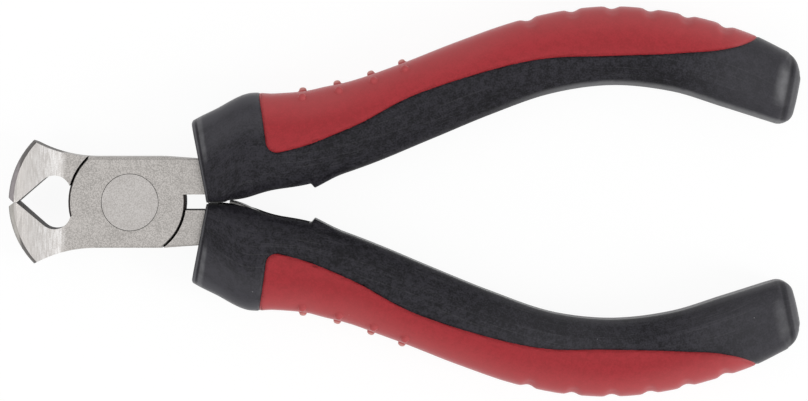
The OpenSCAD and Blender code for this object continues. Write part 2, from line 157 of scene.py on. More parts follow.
class Shader:
    """A node tree of a material or of the world, made through a few short methods."""

    def __init__(self, owner: bpy.types.Material | bpy.types.World) -> None:
        """Empties the owner's node tree and keeps it.

        Args:
            owner: The material or world to shade.
        """
        owner.use_nodes = True
        self.owner = owner
        self.tree = owner.node_tree
        self.tree.nodes.clear()

    @classmethod
    def material(cls, name: str) -> "Shader":
        """A shader for a new material of that name."""
        return cls(bpy.data.materials.new(name))

    def feed(self, socket: bpy.types.NodeSocket, value: object) -> None:
        """Sets or links a socket.

        Args:
            socket: A socket of one of the tree's nodes.
            value: A value to link, or a number, vector or colour to set.
        """
        if isinstance(value, Value):
            self.tree.links.new(value.socket, socket)
        elif isinstance(value, tuple) and len(value) == 3 and socket.type == "RGBA":
            socket.default_value = (*value, 1.0)
        else:
            socket.default_value = value

    def node(self, kind: str, settings: dict | None = None, inputs: dict | None = None,
             output: int | str = 0) -> Value:
        """Adds a node.

        Args:
            kind: Blender's name of the node's type.
            settings: The node's own settings, set first.
            inputs: Values or links of its sockets, by name or number.
            output: The socket that is returned, by name or number.

        Returns:
            That output as a value.
        """
        made = self.tree.nodes.new(kind)
        for key, value in (settings or {}).items():
            setattr(made, key, value)
        for key, value in (inputs or {}).items():
            self.feed(made.inputs[key], value)
        return Value(self, made.outputs[output])

    def math(self, operation: str, *operands: Operand) -> Value:
        """A Math node on values and numbers."""
        return self.node("ShaderNodeMath", {"operation": operation}, dict(enumerate(operands)))

    def mix(self, factor: Operand, low: object, high: object) -> Value:
        """A colour between two colours, by a factor from 0 to 1."""
        return self.node("ShaderNodeMix", {"data_type": "RGBA"}, {0: factor, 6: low, 7: high}, 2)

    def places(self) -> Value:
        """The surface's own coordinates in millimetres."""
        own = self.node("ShaderNodeTexCoord", output="Object")
        return self.node("ShaderNodeVectorMath", {"operation": "SCALE"}, {0: own, "Scale": 1 / MM})

    def facing(self) -> Value:
        """The direction that the surface faces in its own coordinates."""
        return self.node("ShaderNodeTexCoord", output="Normal")

    def kept(self, name: str) -> Value:
        """A vector that the mesh keeps for each of its points."""
        return self.node("ShaderNodeAttribute", {"attribute_name": name}, output="Vector")

    def part(self, vector: Value, axis: str) -> Value:
        """One of the numbers of a vector."""
        return self.node("ShaderNodeSeparateXYZ", inputs={0: vector}, output=axis)

    def noise(self, places: Value, size: float, detail: float = 3.0,
              stretch: Triple | None = None) -> Value:
        """Smooth noise from 0 to 1.

        Args:
            places: Coordinates in millimetres.
            size: Size of the spots in millimetres.
            detail: Number of finer layers.
            stretch: How much longer the spots are along x, y and z.

        Returns:
            The noise.
        """
        if stretch:
            shares = tuple(1 / s for s in stretch)
            places = self.node("ShaderNodeVectorMath", {"operation": "MULTIPLY"}, {0: places, 1: shares})
        inputs = {"Vector": places, "Scale": 1 / size, "Detail": detail, "Roughness": 0.55}
        return self.node("ShaderNodeTexNoise", inputs=inputs)

    def specks(self, places: Value, cell: float, radius: float, share: float) -> Value:
        """Rare round specks, as a mask.

        Args:
            places: Coordinates in millimetres.
            cell: Size of the cells that may each hold one speck, in millimetres.
            radius: Radius of a speck in millimetres.
            share: Share of the cells that hold one.

        Returns:
            1 on a speck and 0 elsewhere.
        """
        inputs = {"Vector": places, "Scale": 1 / cell}
        near = self.node("ShaderNodeTexVoronoi", inputs=inputs)
        draw = self.node("ShaderNodeTexVoronoi", inputs=inputs, output="Color")
        chosen = self.math("LESS_THAN", self.node("ShaderNodeSeparateColor", inputs={0: draw}), share)
        return self.ramp(near, radius / cell, 0.0) * chosen

    def ramp(self, value: Value, zero: float, one: float) -> Value:
        """A smooth step from 0 where the value is zero to 1 where it is one."""
        inputs = {"Value": value, "From Min": zero, "From Max": one}
        return self.node("ShaderNodeMapRange", {"interpolation_type": "SMOOTHSTEP"}, inputs)

    def zone(self, value: Value, zone: Zone) -> Value:
        """1 where a value lies in a zone, with smooth ends."""
        return self.ramp(value, *zone[:2]) * self.ramp(value, *zone[:1:-1])

    def open_air(self, reach: float) -> Value:
        """How open a place is to the light, from 0 where it is closed in to 1, over a reach in millimetres.
        """
        settings = {"samples": 6, "only_local": False}
        return self.node("ShaderNodeAmbientOcclusion", settings, {"Distance": reach * MM}, "AO")

    def bump(self, height: Value, depth: float) -> Value:
        """A normal for a height from 0 to 1 that stands for a depth in millimetres."""
        inputs = {"Strength": 1.0, "Distance": depth * MM, "Height": height}
        return self.node("ShaderNodeBump", inputs=inputs)

    def surface(self, **inputs: object) -> bpy.types.Material:
        """Ends the shader in a principled surface.

        Args:
            inputs: Its sockets, with underscores for the spaces in their names.

        Returns:
            The finished material.
        """
        named = {key.replace("_", " "): value for key, value in inputs.items()}
        principled = self.node("ShaderNodeBsdfPrincipled", inputs=named)
        self.node_output("ShaderNodeOutputMaterial", principled)
        return self.owner

    def node_output(self, kind: str, surface: Value) -> None:
        """Links a surface to the tree's output."""
        out = self.tree.nodes.new(kind)
        self.feed(out.inputs["Surface"], surface)


@dataclass(frozen=True)
class MouldedGrip:
    """Satin moulded plastic or rubber: mottled and a little dusty, with painted highlights at its ends,
    rims, lip and bumps, and painted shade in its groove lines and crevices.

    Its places are millimetres along the grip from the front, in from the outer edge, out from the inner
    edge, and up or down from the middle.
    """

    name: str
    colour: Colour
    shade: Colour
    # Lighter colour that the painted highlights mix the tone towards
    pale: Colour
    # Colour of the dusty specks and streaks, and of the painted highlights on the lip, rims, band and bumps
    dust: Colour
    roughness: float
    specular: float
    sheen: float
    grain: float
    dust_share: float
    # Painted highlight along the outer rim: where it runs in from the outer edge, and how strong it is
    rim: Pair
    rim_pale: float
    # How far from the front the painted highlights of the outer side and rim reach
    front_until: float
    # Strengths of painted highlights: the outer side near the front, the far end, the lower grip's middle,
    # the bumps, the band near the far end and the edges
    zone_pale: float = 0.0
    end_pale: float = 0.0
    handled_pale: float = 0.0
    proud_pale: float = 0.0
    band_pale: float = 0.0
    edge_pale: float = 0.0
    # Strength of the painted shade in the groove lines at the front and the far end
    groove: float = 0.0
    streak: float = 0.0
    # Zones of painted light and shade along or across the grip: a reflection on the lower grip, highlights
    # on the front and end lip, the gleam, the end band and the inner rim, and shade in each groove line
    handled: Zone = (36.0, 52.0, 58.0, 70.0)
    front_lip: Zone = (0.08, 0.16, 0.3, 0.42)
    front_groove: Zone = (0.38, 0.48, 0.6, 0.74)
    front_gleam: Zone = (0.6, 0.85, 1.1, 1.5)
    end_band: Zone = (86.5, 87.9, 88.1, 89.0)
    band_across: Zone = (1.2, 3.2, 5.6, 8.6)
    end_groove: Zone = (88.55, 88.8, 89.0, 89.3)
    end_lip: Pair = (89.3, 89.7)
    rim_wear: Pair = (36.0, 62.0)
    cloud_size: float = 6.0
    cloud_stretch: Triple = (2.5, 1.0, 1.0)
    mottle_size: float = 1.0
    grain_size: float = 0.26
    # Where the painted highlights of the outer side and of the far end lie
    outer_zone: Pair = (7.5, 3.5)
    end_zone: Pair = (68.0, 84.0)
    top_side: Pair = (1.2, 2.6)
    gleam_across: Pair = (7.5, 4.5)
    rim_width: Pair = (0.9, 0.3)
    # How far out past the outer edge the painted highlight of the bumps begins and is whole
    proud: Pair = (-0.05, -0.35)
    streak_size: float = 0.2
    streak_stretch: Triple = (70.0, 1.0, 1.4)
    streak_across: Pair = (3.0, 7.0)
    speck_cell: float = 2.0
    speck_r: float = 0.11
    # Painted shade: the colour of closed-in places, and the reach and levels of the ambient occlusion that
    # finds them
    crevice: Colour = (0.003, 0.002, 0.003)
    crevice_reach: float = 0.9
    crevice_edges: Pair = (0.08, 0.6)

    def build(self) -> bpy.types.Material:
        """Mixes the base tone, the painted highlights of its zones, edges and bumps, the painted shade of
        its groove lines and crevices, and the dusty specks.

        Returns:
            The finish as a material.
        """
        s = Shader.material(self.name)
        places, rim = s.kept(GRIP_PLACE), s.kept(GRIP_RIM)
        run, inward = s.part(places, "X"), s.part(places, "Y")
        from_inner, height_up, upper = (s.part(rim, axis) for axis in "XYZ")
        cloud = s.noise(places, self.cloud_size, 2.0, self.cloud_stretch)
        mottle = s.noise(places, self.mottle_size)
        grain = s.noise(places, self.grain_size, 2.0)
        mixed = cloud * 0.2 + mottle * 0.35 + grain * 0.45
        tone = s.mix(s.ramp(mixed, 0.38, 0.62), self.shade, self.colour)

        far_in = inward + (cloud - 0.5) * 2
        # Painted highlights: the tone lighter towards the outer rim, on the outer side near the front, and
        # towards the far end
        rim_light = s.ramp(far_in, *self.rim) * self.rim_pale
        outer = s.ramp(far_in, *self.outer_zone) * self.zone_pale + rim_light
        front = s.ramp(run, self.front_until, self.front_until - 5) * outer
        end = s.ramp(run + (cloud - 0.5) * 6, *self.end_zone) * self.end_pale
        # Painted reflection: the lower grip lighter over part of its length
        handled = (1 - upper) * s.zone(run, self.handled) * self.handled_pale
        painted_zones = s.mix(s.math("MAXIMUM", front, end) + handled, tone, self.pale)

        top = s.ramp(height_up, *self.top_side)
        level = s.ramp(s.math("ABSOLUTE", s.part(s.facing(), "Z")), 0.1, 0.4)
        # Painted shade: the groove lines near the front and the far end darkened towards the darker tone
        groove_shade = s.zone(run, self.front_groove) + s.zone(run, self.end_groove)
        groove_shaded = s.mix(groove_shade * top * self.groove, painted_zones, self.shade)
        # Painted highlights: a light line on the front and the end lip, a gleam behind the front, and a
        # painted reflection along the inner rim, stronger on the upper grip
        lip_highlights = s.zone(run, self.front_lip) + s.ramp(run, *self.end_lip) * level
        gleam = s.zone(run, self.front_gleam) * s.ramp(inward, *self.gleam_across)
        ragged = from_inner + (mottle - 0.5) * 0.3
        rim_reflection = s.ramp(ragged, *self.rim_width) * s.ramp(run, *self.rim_wear)
        rims = lip_highlights * 0.4 + gleam * mottle * 0.9 + rim_reflection * (upper * 0.9 + 0.1)
        # Painted highlight: a band near the far end, stronger on the upper grip
        band = s.zone(run, self.end_band) * s.zone(far_in, self.band_across) * self.band_pale
        shine = band * (mottle + 0.5) * (upper * 0.6 + 0.4)
        lines = s.ramp(s.noise(places, self.streak_size, 2.0, self.streak_stretch), 0.56, 0.74)
        streaks = lines * s.ramp(inward, *self.streak_across) * self.streak
        specks = s.specks(places, self.speck_cell, self.speck_r, self.dust_share)
        # Painted highlight on what stands proud of the outer edge: the bumps
        proud = s.ramp(inward, *self.proud) * self.proud_pale
        # Real dusty specks and streaks, together with the painted highlights, all mixed towards one colour
        marks_and_highlights = specks * 0.85 + streaks + shine + rims * top * self.edge_pale + proud
        # Painted shade in closed-in places, from ambient occlusion
        open_air = s.ramp(s.open_air(self.crevice_reach), *self.crevice_edges)
        return s.surface(
            Base_Color=s.mix(open_air, self.crevice, s.mix(marks_and_highlights, groove_shaded, self.dust)),
            Roughness=self.roughness + (mottle - 0.5) * 0.12 + (grain - 0.5) * 0.2,
            Specular_IOR_Level=self.specular,
            Sheen_Weight=self.sheen,
            Sheen_Roughness=0.3,
            Normal=s.bump(grain * 0.6 + mottle * 0.4 + specks * 0.6, self.grain),
        )


@dataclass(frozen=True)
class ForgedSteel:
    """Fine blasted tool steel: brown on its forged sides, and ground bright in front of a given place, with
    painted light and shade on its crowned front and painted shade in its gaps.
    """

    name: str
    colour: Colour
    shade: Colour
    ground: Colour
    side: Colour
    # Colours of the crowned front on its lower and its upper side: painted light and painted shade
    crowns: tuple[Colour, Colour]
    roughness: float
    ground_from: float
    crown_from: float
    grain: float
    ground_roughness: float = 0.34
    # Colour of the painted shade in gaps and closed-in places
    grime: Colour = (0.006, 0.005, 0.005)
    outer_flank: Pair = (4.6, 5.4)
    cloud_size: float = 2.2
    grain_size: float = 0.17
    line_size: float = 0.2
    line_stretch: Triple = (1.0, 9.0, 3.0)
    ground_blur: float = 0.6
    crown_blur: float = 0.3
    brushed: Pair = (-17.5, -10.5)
    pit_cell: float = 0.45
    pit_r: float = 0.09
    pit_share: float = 0.3
    # Reach and levels of the ambient occlusion that places the painted shade
    crevice_reach: float = 1.6
    crevice_edges: Pair = (0.12, 0.6)

    def build(self) -> bpy.types.Material:
        """Mixes the blasted and ground faces, the forged sides, the crowned front with its painted light and
        shade, and the painted shade in gaps.

        Returns:
            The finish as a material.
        """
        s = Shader.material(self.name)
        places = s.places()
        x, y = s.part(places, "X") - PIVOT_X, s.part(places, "Y")
        up = s.math("ABSOLUTE", s.part(s.facing(), "Z"))
        cloud = s.noise(places, self.cloud_size)
        grain = s.noise(places, self.grain_size, 2.0)
        lines = s.noise(places, self.line_size, 3.0, self.line_stretch)
        ground_edge = (self.ground_from + self.ground_blur, self.ground_from - self.ground_blur)
        ground = s.ramp(x + (cloud - 0.5) * 1.2, *ground_edge)
        pits = s.specks(places, self.pit_cell, self.pit_r, self.pit_share)
        blasted = s.mix(s.ramp(grain * 0.8 + cloud * 0.2, 0.36, 0.64), self.shade, self.colour)
        dotted = s.mix(pits * 0.4, blasted, self.side)
        brushed = s.ramp(lines * 0.65 + grain * 0.35, 0.36, 0.66) * s.ramp(x, *self.brushed)
        flat = s.mix(ground, dotted, s.mix(brushed, self.colour, self.ground))

        # Painted light and shade on the crowned front: lighter on its lower side than its upper, and darker
        # where it turns upright
        crown_light_and_shade = s.mix(s.ramp(y + (lines - 0.5) * 0.4, -0.2, 0.2), *self.crowns)
        shaded = s.mix(s.ramp(up, 0.3, 0.02) * 0.75 + s.ramp(lines, 0.45, 0.7) * 0.35, crown_light_and_shade, self.side)
        front = s.ramp(x, self.crown_from + self.crown_blur, self.crown_from - self.crown_blur)
        outer = s.ramp(s.math("ABSOLUTE", y), *self.outer_flank) * (1 - ground * 0.8)
        upright = s.mix(front, s.mix(outer, self.side, blasted), shaded)
        level = s.ramp(up, 0.42, 0.62)
        scale = (1 - level) * (1 - front) * (1 - outer * 0.85) + front * s.ramp(up, 0.35, 0.08) * 0.8
        soft = self.roughness + (grain - 0.5) * 0.2 + (cloud - 0.5) * 0.08
        bright = self.ground_roughness + (lines - 0.5) * 0.16
        # Painted shade in gaps and closed-in places, from ambient occlusion
        open_air = s.ramp(s.open_air(self.crevice_reach), *self.crevice_edges)
        return s.surface(
            Base_Color=s.mix(open_air, self.grime, s.mix(level, upright, flat)),
            Metallic=1 - scale * 0.9,
            Roughness=s.mix(ground, soft, bright) + scale * 0.3,
            Specular_IOR_Level=0.3,
            Normal=s.bump(s.mix(ground, grain, lines), self.grain),
        )


@dataclass(frozen=True)
class SpringStrip:
    """Dark hardened steel strip with fine rolling lines along it."""

    name: str
    colour: Colour
    shade: Colour
    roughness: float
    line_size: float = 0.12
    line_stretch: Triple = (14.0, 4.0, 1.0)
    cloud_size: float = 1.8
    grain: float = 0.006

    def build(self) -> bpy.types.Material:
        """Mixes the strip's rolling lines.

        Returns:
            The finish as a material.
        """
        s = Shader.material(self.name)
        places = s.places()
        lines = s.noise(places, self.line_size, 3.0, self.line_stretch)
        cloud = s.noise(places, self.cloud_size, 2.0)
        return s.surface(
            Base_Color=s.mix(s.ramp(lines * 0.6 + cloud * 0.4, 0.35, 0.65), self.shade, self.colour),
            Metallic=1.0,
            Roughness=self.roughness + (lines - 0.5) * 0.2,
            Normal=s.bump(lines, self.grain),
        )


FINISHES: dict[Slot, MouldedGrip | ForgedSteel | SpringStrip] = {
    Slot.FORGED: ForgedSteel(
        name="blasted_steel", colour=(0.5, 0.475, 0.455), shade=(0.3, 0.285, 0.27),
        ground=(0.76, 0.745, 0.735), side=(0.045, 0.036, 0.034),
        crowns=((0.41, 0.385, 0.35), (0.225, 0.19, 0.2)),
        roughness=0.44, ground_from=-9.7, crown_from=-15.9, grain=0.02),
    Slot.RIVET: ForgedSteel(
        name="rivet_face", colour=(0.5, 0.48, 0.465), shade=(0.37, 0.35, 0.335),
        ground=(0.68, 0.665, 0.655), side=(0.06, 0.05, 0.048),
        crowns=((0.4, 0.38, 0.35), (0.235, 0.2, 0.21)),
        roughness=0.42, ground_from=-20.0, crown_from=-20.0, grain=0.018),
    Slot.SPRING: SpringStrip(
        name="spring_strip", colour=(0.2, 0.197, 0.19), shade=(0.07, 0.068, 0.065), roughness=0.42),
    # The black's lighter front side, far end, rims, lip and band are painted highlights; its groove lines
    # and crevices are painted shade
    Slot.BLACK: MouldedGrip(
        name="black_plastic", colour=(0.0325, 0.0308, 0.039), shade=(0.0045, 0.0041, 0.006),
        pale=(0.09, 0.088, 0.099), dust=(0.36, 0.36, 0.37),
        roughness=0.46, specular=0.18, sheen=0.18, grain=0.016, dust_share=0.035,
        rim=(2.4, 0.6), rim_pale=0.55, front_until=15.0, zone_pale=0.42, end_pale=0.4,
        handled_pale=0.2, band_pale=0.36, edge_pale=0.5, groove=0.5, streak=0.05),
    # The red's lighter rim and bumps are painted highlights; its crevices are painted shade
    Slot.RED: MouldedGrip(
        name="red_rubber", colour=(0.43, 0.031, 0.04), shade=(0.355, 0.025, 0.031),
        pale=(0.6, 0.125, 0.13), dust=(0.8, 0.42, 0.38),
        roughness=0.5, specular=0.24, sheen=0.3, grain=0.014, dust_share=0.03,
        rim=(5.0, -1.0), rim_pale=0.7, front_until=200.0, proud_pale=0.8),
}


class Workshop:
    """Makes meshes into pieces of the object, each with its finish, body and nodes."""

    def __init__(self) -> None:
        """Builds each finish once."""
        self.materials = {slot: finish.build() for slot, finish in FINISHES.items()}

    def piece(self, name: str, points: Array, faces: Sequence[Sequence[int]], slot: Slot,
              sharp: float = 40.0) -> bpy.types.Object:
        """Makes an object from points and faces, smooth but for its sharp edges.

        Args:
            name: The piece's name.
            points: Rows of x, y and z in metres in the frame.
            faces: The faces as rows of point numbers.
            slot: The material slot of its finish.
            sharp: Least angle of an edge that stays sharp, in degrees.

        Returns:
            The object.
        """
        mesh = bpy.data.meshes.new(name)
        mesh.from_pydata([tuple(map(float, p)) for p in points], [], [tuple(map(int, f)) for f in faces])
        self._face_out(mesh)
        return self.object(name, mesh, slot, sharp)

    def object(self, name: str, mesh: bpy.types.Mesh, slot: Slot, sharp: float) -> bpy.types.Object:
        """Makes an object from a mesh.

        Args:
            name: The piece's name.
            mesh: Its mesh.
            slot: The material slot of its finish.
            sharp: Least angle of an edge that stays sharp, in degrees.

        Returns:
            The object.
        """
        mesh.materials.clear()
        mesh.materials.append(self.materials[slot])
        mesh.shade_smooth()
        mesh.set_sharp_from_angle(angle=math.radians(sharp))
        made = bpy.data.objects.new(name, mesh)
        bpy.context.scene.collection.objects.link(made)
        return made

    @staticmethod
    def _face_out(mesh: bpy.types.Mesh) -> None:
        """Turns all faces outward.

        Args:
            mesh: A closed mesh.
        """
        bm = bmesh.new()
        bm.from_mesh(mesh)
        bmesh.ops.recalc_face_normals(bm, faces=bm.faces)
        bm.to_mesh(mesh)
        bm.free()

    def mount(self, piece: bpy.types.Object, half: Half, slot: Slot, *nodes: str) -> None:
        """Lets a piece ride on a half, hides the nodes that it stands for, and reports it."""
        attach(piece, half.body)
        self.declare(piece, slot, *nodes)

    @staticmethod
    def declare(piece: bpy.types.Object, slot: Slot, *nodes: str) -> None:
        """Hides the nodes that a piece stands for, and reports it.

        Args:
            piece: A piece that has its body.
            slot: Not used.
            nodes: The frame's nodes that it replaces.
        """
        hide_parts(*nodes)
        LOG.info("%s: %d faces, for %s", piece.name, len(piece.data.polygons), ", ".join(nodes))

    def dress_node(self, node: str, slot: Slot) -> None:
        """Gives a node of the frame a finish, and reports it.

        Args:
            node: The node's name.
            slot: The material slot of the finish.
        """
        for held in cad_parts[node].material_slots:
            held.material = self.materials[slot]
        LOG.info("%s: the frame's node", node)


def smooth_curve(table: Array, place: Stations) -> Array:
    """A smooth curve through the rows of a table.

    Args:
        table: One row, or one number, for each station.
        place: Places counted in stations.

    Returns:
        The table's values at those places.
    """
    ends = [2 * table[:1] - table[1:2], table, 2 * table[-1:] - table[-2:-1]]
    padded = np.concatenate(ends)
    row = np.clip(np.floor(place).astype(int), 0, len(table) - 2)
    t = place - row
    if table.ndim > 1:
        t = t[..., None]
    p0, p1, p2, p3 = (padded[row + k] for k in range(4))
    return p1 + t * (p2 - p0 + t * (2 * p0 - 5 * p1 + 4 * p2 - p3 + t * (3 * (p1 - p2) + p3 - p0))) / 2


def run_along(points: Array) -> Array:
    """The distance travelled to each point of a row."""
    return np.concatenate([[0], np.cumsum(np.linalg.norm(np.diff(points, axis=0), axis=1))])


def tube_faces(rings: int, around: int) -> list[list[int]]:
    """Joins rings of points into a tube that is closed at both ends.

    Args:
        rings: Number of rings, whose points follow each other.
        around: Number of points in each.

    Returns:
        The faces as rows of point numbers.
    """
    faces = [[i * around + k, i * around + (k + 1) % around,
              (i + 1) * around + (k + 1) % around, (i + 1) * around + k]
             for i in range(rings - 1) for k in range(around)]
    last = (rings - 1) * around
    return faces + [list(range(around)), list(range(last, last + around))]


def joined(*parts: Mesh) -> Mesh:
    """Several meshes as one.

    Args:
        parts: Points and faces of each.

    Returns:
        Points and faces of all.
    """
    points = [p for p, _ in parts]
    starts = np.cumsum([0] + [len(p) for p in points])
    faces = [[k + int(start) for k in f] for (_, rows), start in zip(parts, starts) for f in rows]
    return np.concatenate(points), faces


def ease(t: Stations) -> Stations:
    """A smooth step from 0 to 1."""
    c = np.clip(t, 0.0, 1.0)
    return c * c * (3 - 2 * c)


def fading(value: Array, limit: float, over: float) -> Array:
    """Falls to 0 where a value reaches a limit, from 1 where it is further below it than a distance."""
    return ease((limit - value) / over)


def rising(value: Array, limit: float, over: float) -> Array:
    """Rises from 0 where a value passes a limit to 1 where it is further above it than a distance."""
    return ease((value - limit) / over)


def soft_least(a: Array, b: Array, blend: float) -> Array:
    """The smaller of two values, rounded over where they meet."""
    return -blend * np.logaddexp(-a / blend, -b / blend)


@dataclass
class GripForm:
    """The line, width and section of a grip, as the solids have them."""

    front: float = 11.2
    reach: float = 97.4
    bow: float = 16.85
    breadth: float = 11.3
    flat_cut: float = 0.2
    gap: float = 0.3
    flat_blend: float = 0.09
    crease: float = 0.24
    spine_steps: int = 600
    spine_rounds: int = 8
    edge_steps: int = 200
    # For each station: distance and rise of the inner edge, width, lean of the section in degrees
    line: Array = field(default_factory=lambda: np.array([
        [0.000, 0.000, 1.055, 11.0], [0.028, 0.003, 1.186, 5.0], [0.063, 0.024, 1.345, -1.0],
        [0.108, 0.089, 1.253, -2.0], [0.178, 0.151, 1.208, 1.0], [0.275, 0.315, 1.110, 18.0],
        [0.376, 0.531, 1.053, 25.0], [0.478, 0.748, 1.027, 24.0], [0.578, 0.926, 1.004, 18.0],
        [0.681, 1.000, 1.000, 3.0], [0.782, 0.947, 0.988, -12.0], [0.870, 0.811, 0.997, -17.0],
        [0.958, 0.668, 0.920, -11.0]]))
    # For each station: thickness, squareness, and what the inner facet takes off
    section: Array = field(default_factory=lambda: np.array([
        [0.93, 5.0, 0.05], [0.97, 4.6, 0.08], [0.99, 4.2, 0.14], [1.0, 3.8, 0.2], [1.0, 3.4, 0.24],
        [1.0, 3.2, 0.26], [1.0, 3.1, 0.28], [1.0, 3.1, 0.3], [1.0, 3.1, 0.32], [1.0, 3.1, 0.34],
        [1.0, 3.1, 0.32], [1.0, 3.1, 0.2], [0.97, 3.2, 0.06]]))

    # For places along each half: how far its inner and outer edge stand out from the drawn line
    bends: dict[Half, Array] = field(default_factory=lambda: {
        Half.UPPER: np.array([
            [11.0, 0.0, 0.0], [25.0, 0.08, -0.05], [36.0, 0.06, -0.1], [46.0, 0.0, -0.02], [54.0, 0.0, 0.08],
            [64.0, 0.0, 0.16], [80.0, 0.0, 0.18], [90.0, 0.0, 0.16], [98.0, 0.0, 0.2]]),
        Half.LOWER: np.array([
            [11.0, 0.0, -0.06], [18.0, 0.06, -0.06], [22.0, 0.3, -0.06], [26.0, 0.4, -0.04],
            [30.0, 0.32, 0.1], [36.0, 0.44, 0.3], [46.0, 0.4, 0.38], [54.0, 0.3, 0.44], [62.0, 0.29, 0.34],
            [67.0, 0.14, 0.16], [72.0, 0.04, 0.08], [79.0, 0.0, 0.0], [84.0, 0.0, -0.2],
            [98.0, 0.0, -0.24]])})

    @property
    def last(self) -> float:
        """The last station."""
        return float(len(self.line) - 1)

    def inner(self, u: Stations) -> Array:
        """The inner edge at stations u."""
        along, rise = np.moveaxis(smooth_curve(self.line, u), -1, 0)[:2]
        return np.stack([self.front + along * (self.reach - self.front), self.gap / 2 + rise * self.bow], -1)

    def across(self, u: Stations) -> Array:
        """The direction from the inner to the outer edge."""
        lean = np.radians(smooth_curve(self.line, u)[..., 3])
        return np.stack([-np.sin(lean), np.cos(lean)], -1)

    def ahead(self, u: Stations) -> Array:
        """The direction along the grip, square to its section line."""
        a = self.across(u)
        return np.stack([a[..., 1], -a[..., 0]], -1)

    def width(self, u: Stations) -> Stations:
        """The width of the grip."""
        return smooth_curve(self.line, u)[..., 2] * self.breadth

    def at(self, u: Stations, share: Stations) -> Array:
        """Points at a share of the way across."""
        return self.inner(u) + (share * self.width(u))[..., None] * self.across(u)

    def deep(self, u: Stations, depth: Stations) -> Array:
        """Points a distance in from the inner edge."""
        return self.inner(u) + np.asarray(depth * np.ones_like(u))[..., None] * self.across(u)

    def unrolled(self, points: Array) -> tuple[Array, Array]:
        """Finds where points lie on the grip.

        Args:
            points: Rows of x, y and z.

        Returns:
            Rows of the distance along, the distance in from the outer edge and the height, and rows of
            the distance out from the inner edge, the height above or below the middle, and a 0.
        """
        u = np.linspace(0, self.last, self.spine_steps)
        spine = self.at(u, 0.5)
        run = run_along(spine)
        pace = np.gradient(run, u)
        place = np.interp(points[:, 0], spine[:, 0], u)
        gap = self._ahead_of(points, place)
        for _ in range(self.spine_rounds):
            place = np.clip(place + gap / np.interp(place, u, pace), 0, self.last)
            gap = self._ahead_of(points, place)
        inward = ((self.at(place, 1.0) - points[:, :2]) * self.across(place)).sum(axis=1)
        along = np.interp(place, u, run) + gap
        rim = np.column_stack([self.width(place) - inward, np.abs(points[:, 2]), 0 * along])
        return np.column_stack([along, inward, points[:, 2]]), rim

    def _ahead_of(self, points: Array, place: Array) -> Array:
        """How far each point lies along the grip past its station."""
        return ((points[:, :2] - self.at(place, 0.5)) * self.ahead(place)).sum(axis=1)

    def settled(self, points: Array, half: Half) -> Array:
        """Bends points as a half of the photographed tool is bent.

        Args:
            points: Rows of x, y and z.
            half: The half that they belong to.

        Returns:
            The bent rows.
        """
        u = np.linspace(0, self.last, self.edge_steps)
        edges = [self.at(u, share) for share in (0.0, 1.0)]
        low, high = (np.interp(points[:, 0], edge[:, 0], edge[:, 1]) for edge in edges)
        share = np.clip((points[:, 1] - low) / (high - low), 0, 1)
        place, inner, outer = self.bends[half].T
        moved = points.copy()
        moved[:, 1] += (1 - share) * np.interp(points[:, 0], place, inner)
        moved[:, 1] += share * np.interp(points[:, 0], place, outer)
        return moved

    def half_section(self, u: float, inset: float, angles: Array) -> tuple[Array, Array]:
        """The upper side of a section.

        Args:
            u: The station.
            inset: How far the section is drawn in all round.
            angles: Angles from the outer edge, 0, to the inner edge, half a turn.

        Returns:
            Distances from the middle towards the outer edge, and heights.
        """
        thick, square, facet = smooth_curve(self.section, u)
        half_w = self.width(u) / 2 - inset
        half_t = thick * (REST_HEIGHT + self.flat_cut) - inset
        c, s = np.cos(angles), np.abs(np.sin(angles))
        side = np.sign(c) * np.abs(c) ** (2 / square)
        cut = 1 - facet * np.maximum(0.0, (-side - 1 + 2 * self.crease) / (2 * self.crease))
        height = s ** (2 / square) * half_t * cut
        top = REST_HEIGHT - inset
        return side * half_w, soft_least(height, np.full_like(height, top), self.flat_blend)


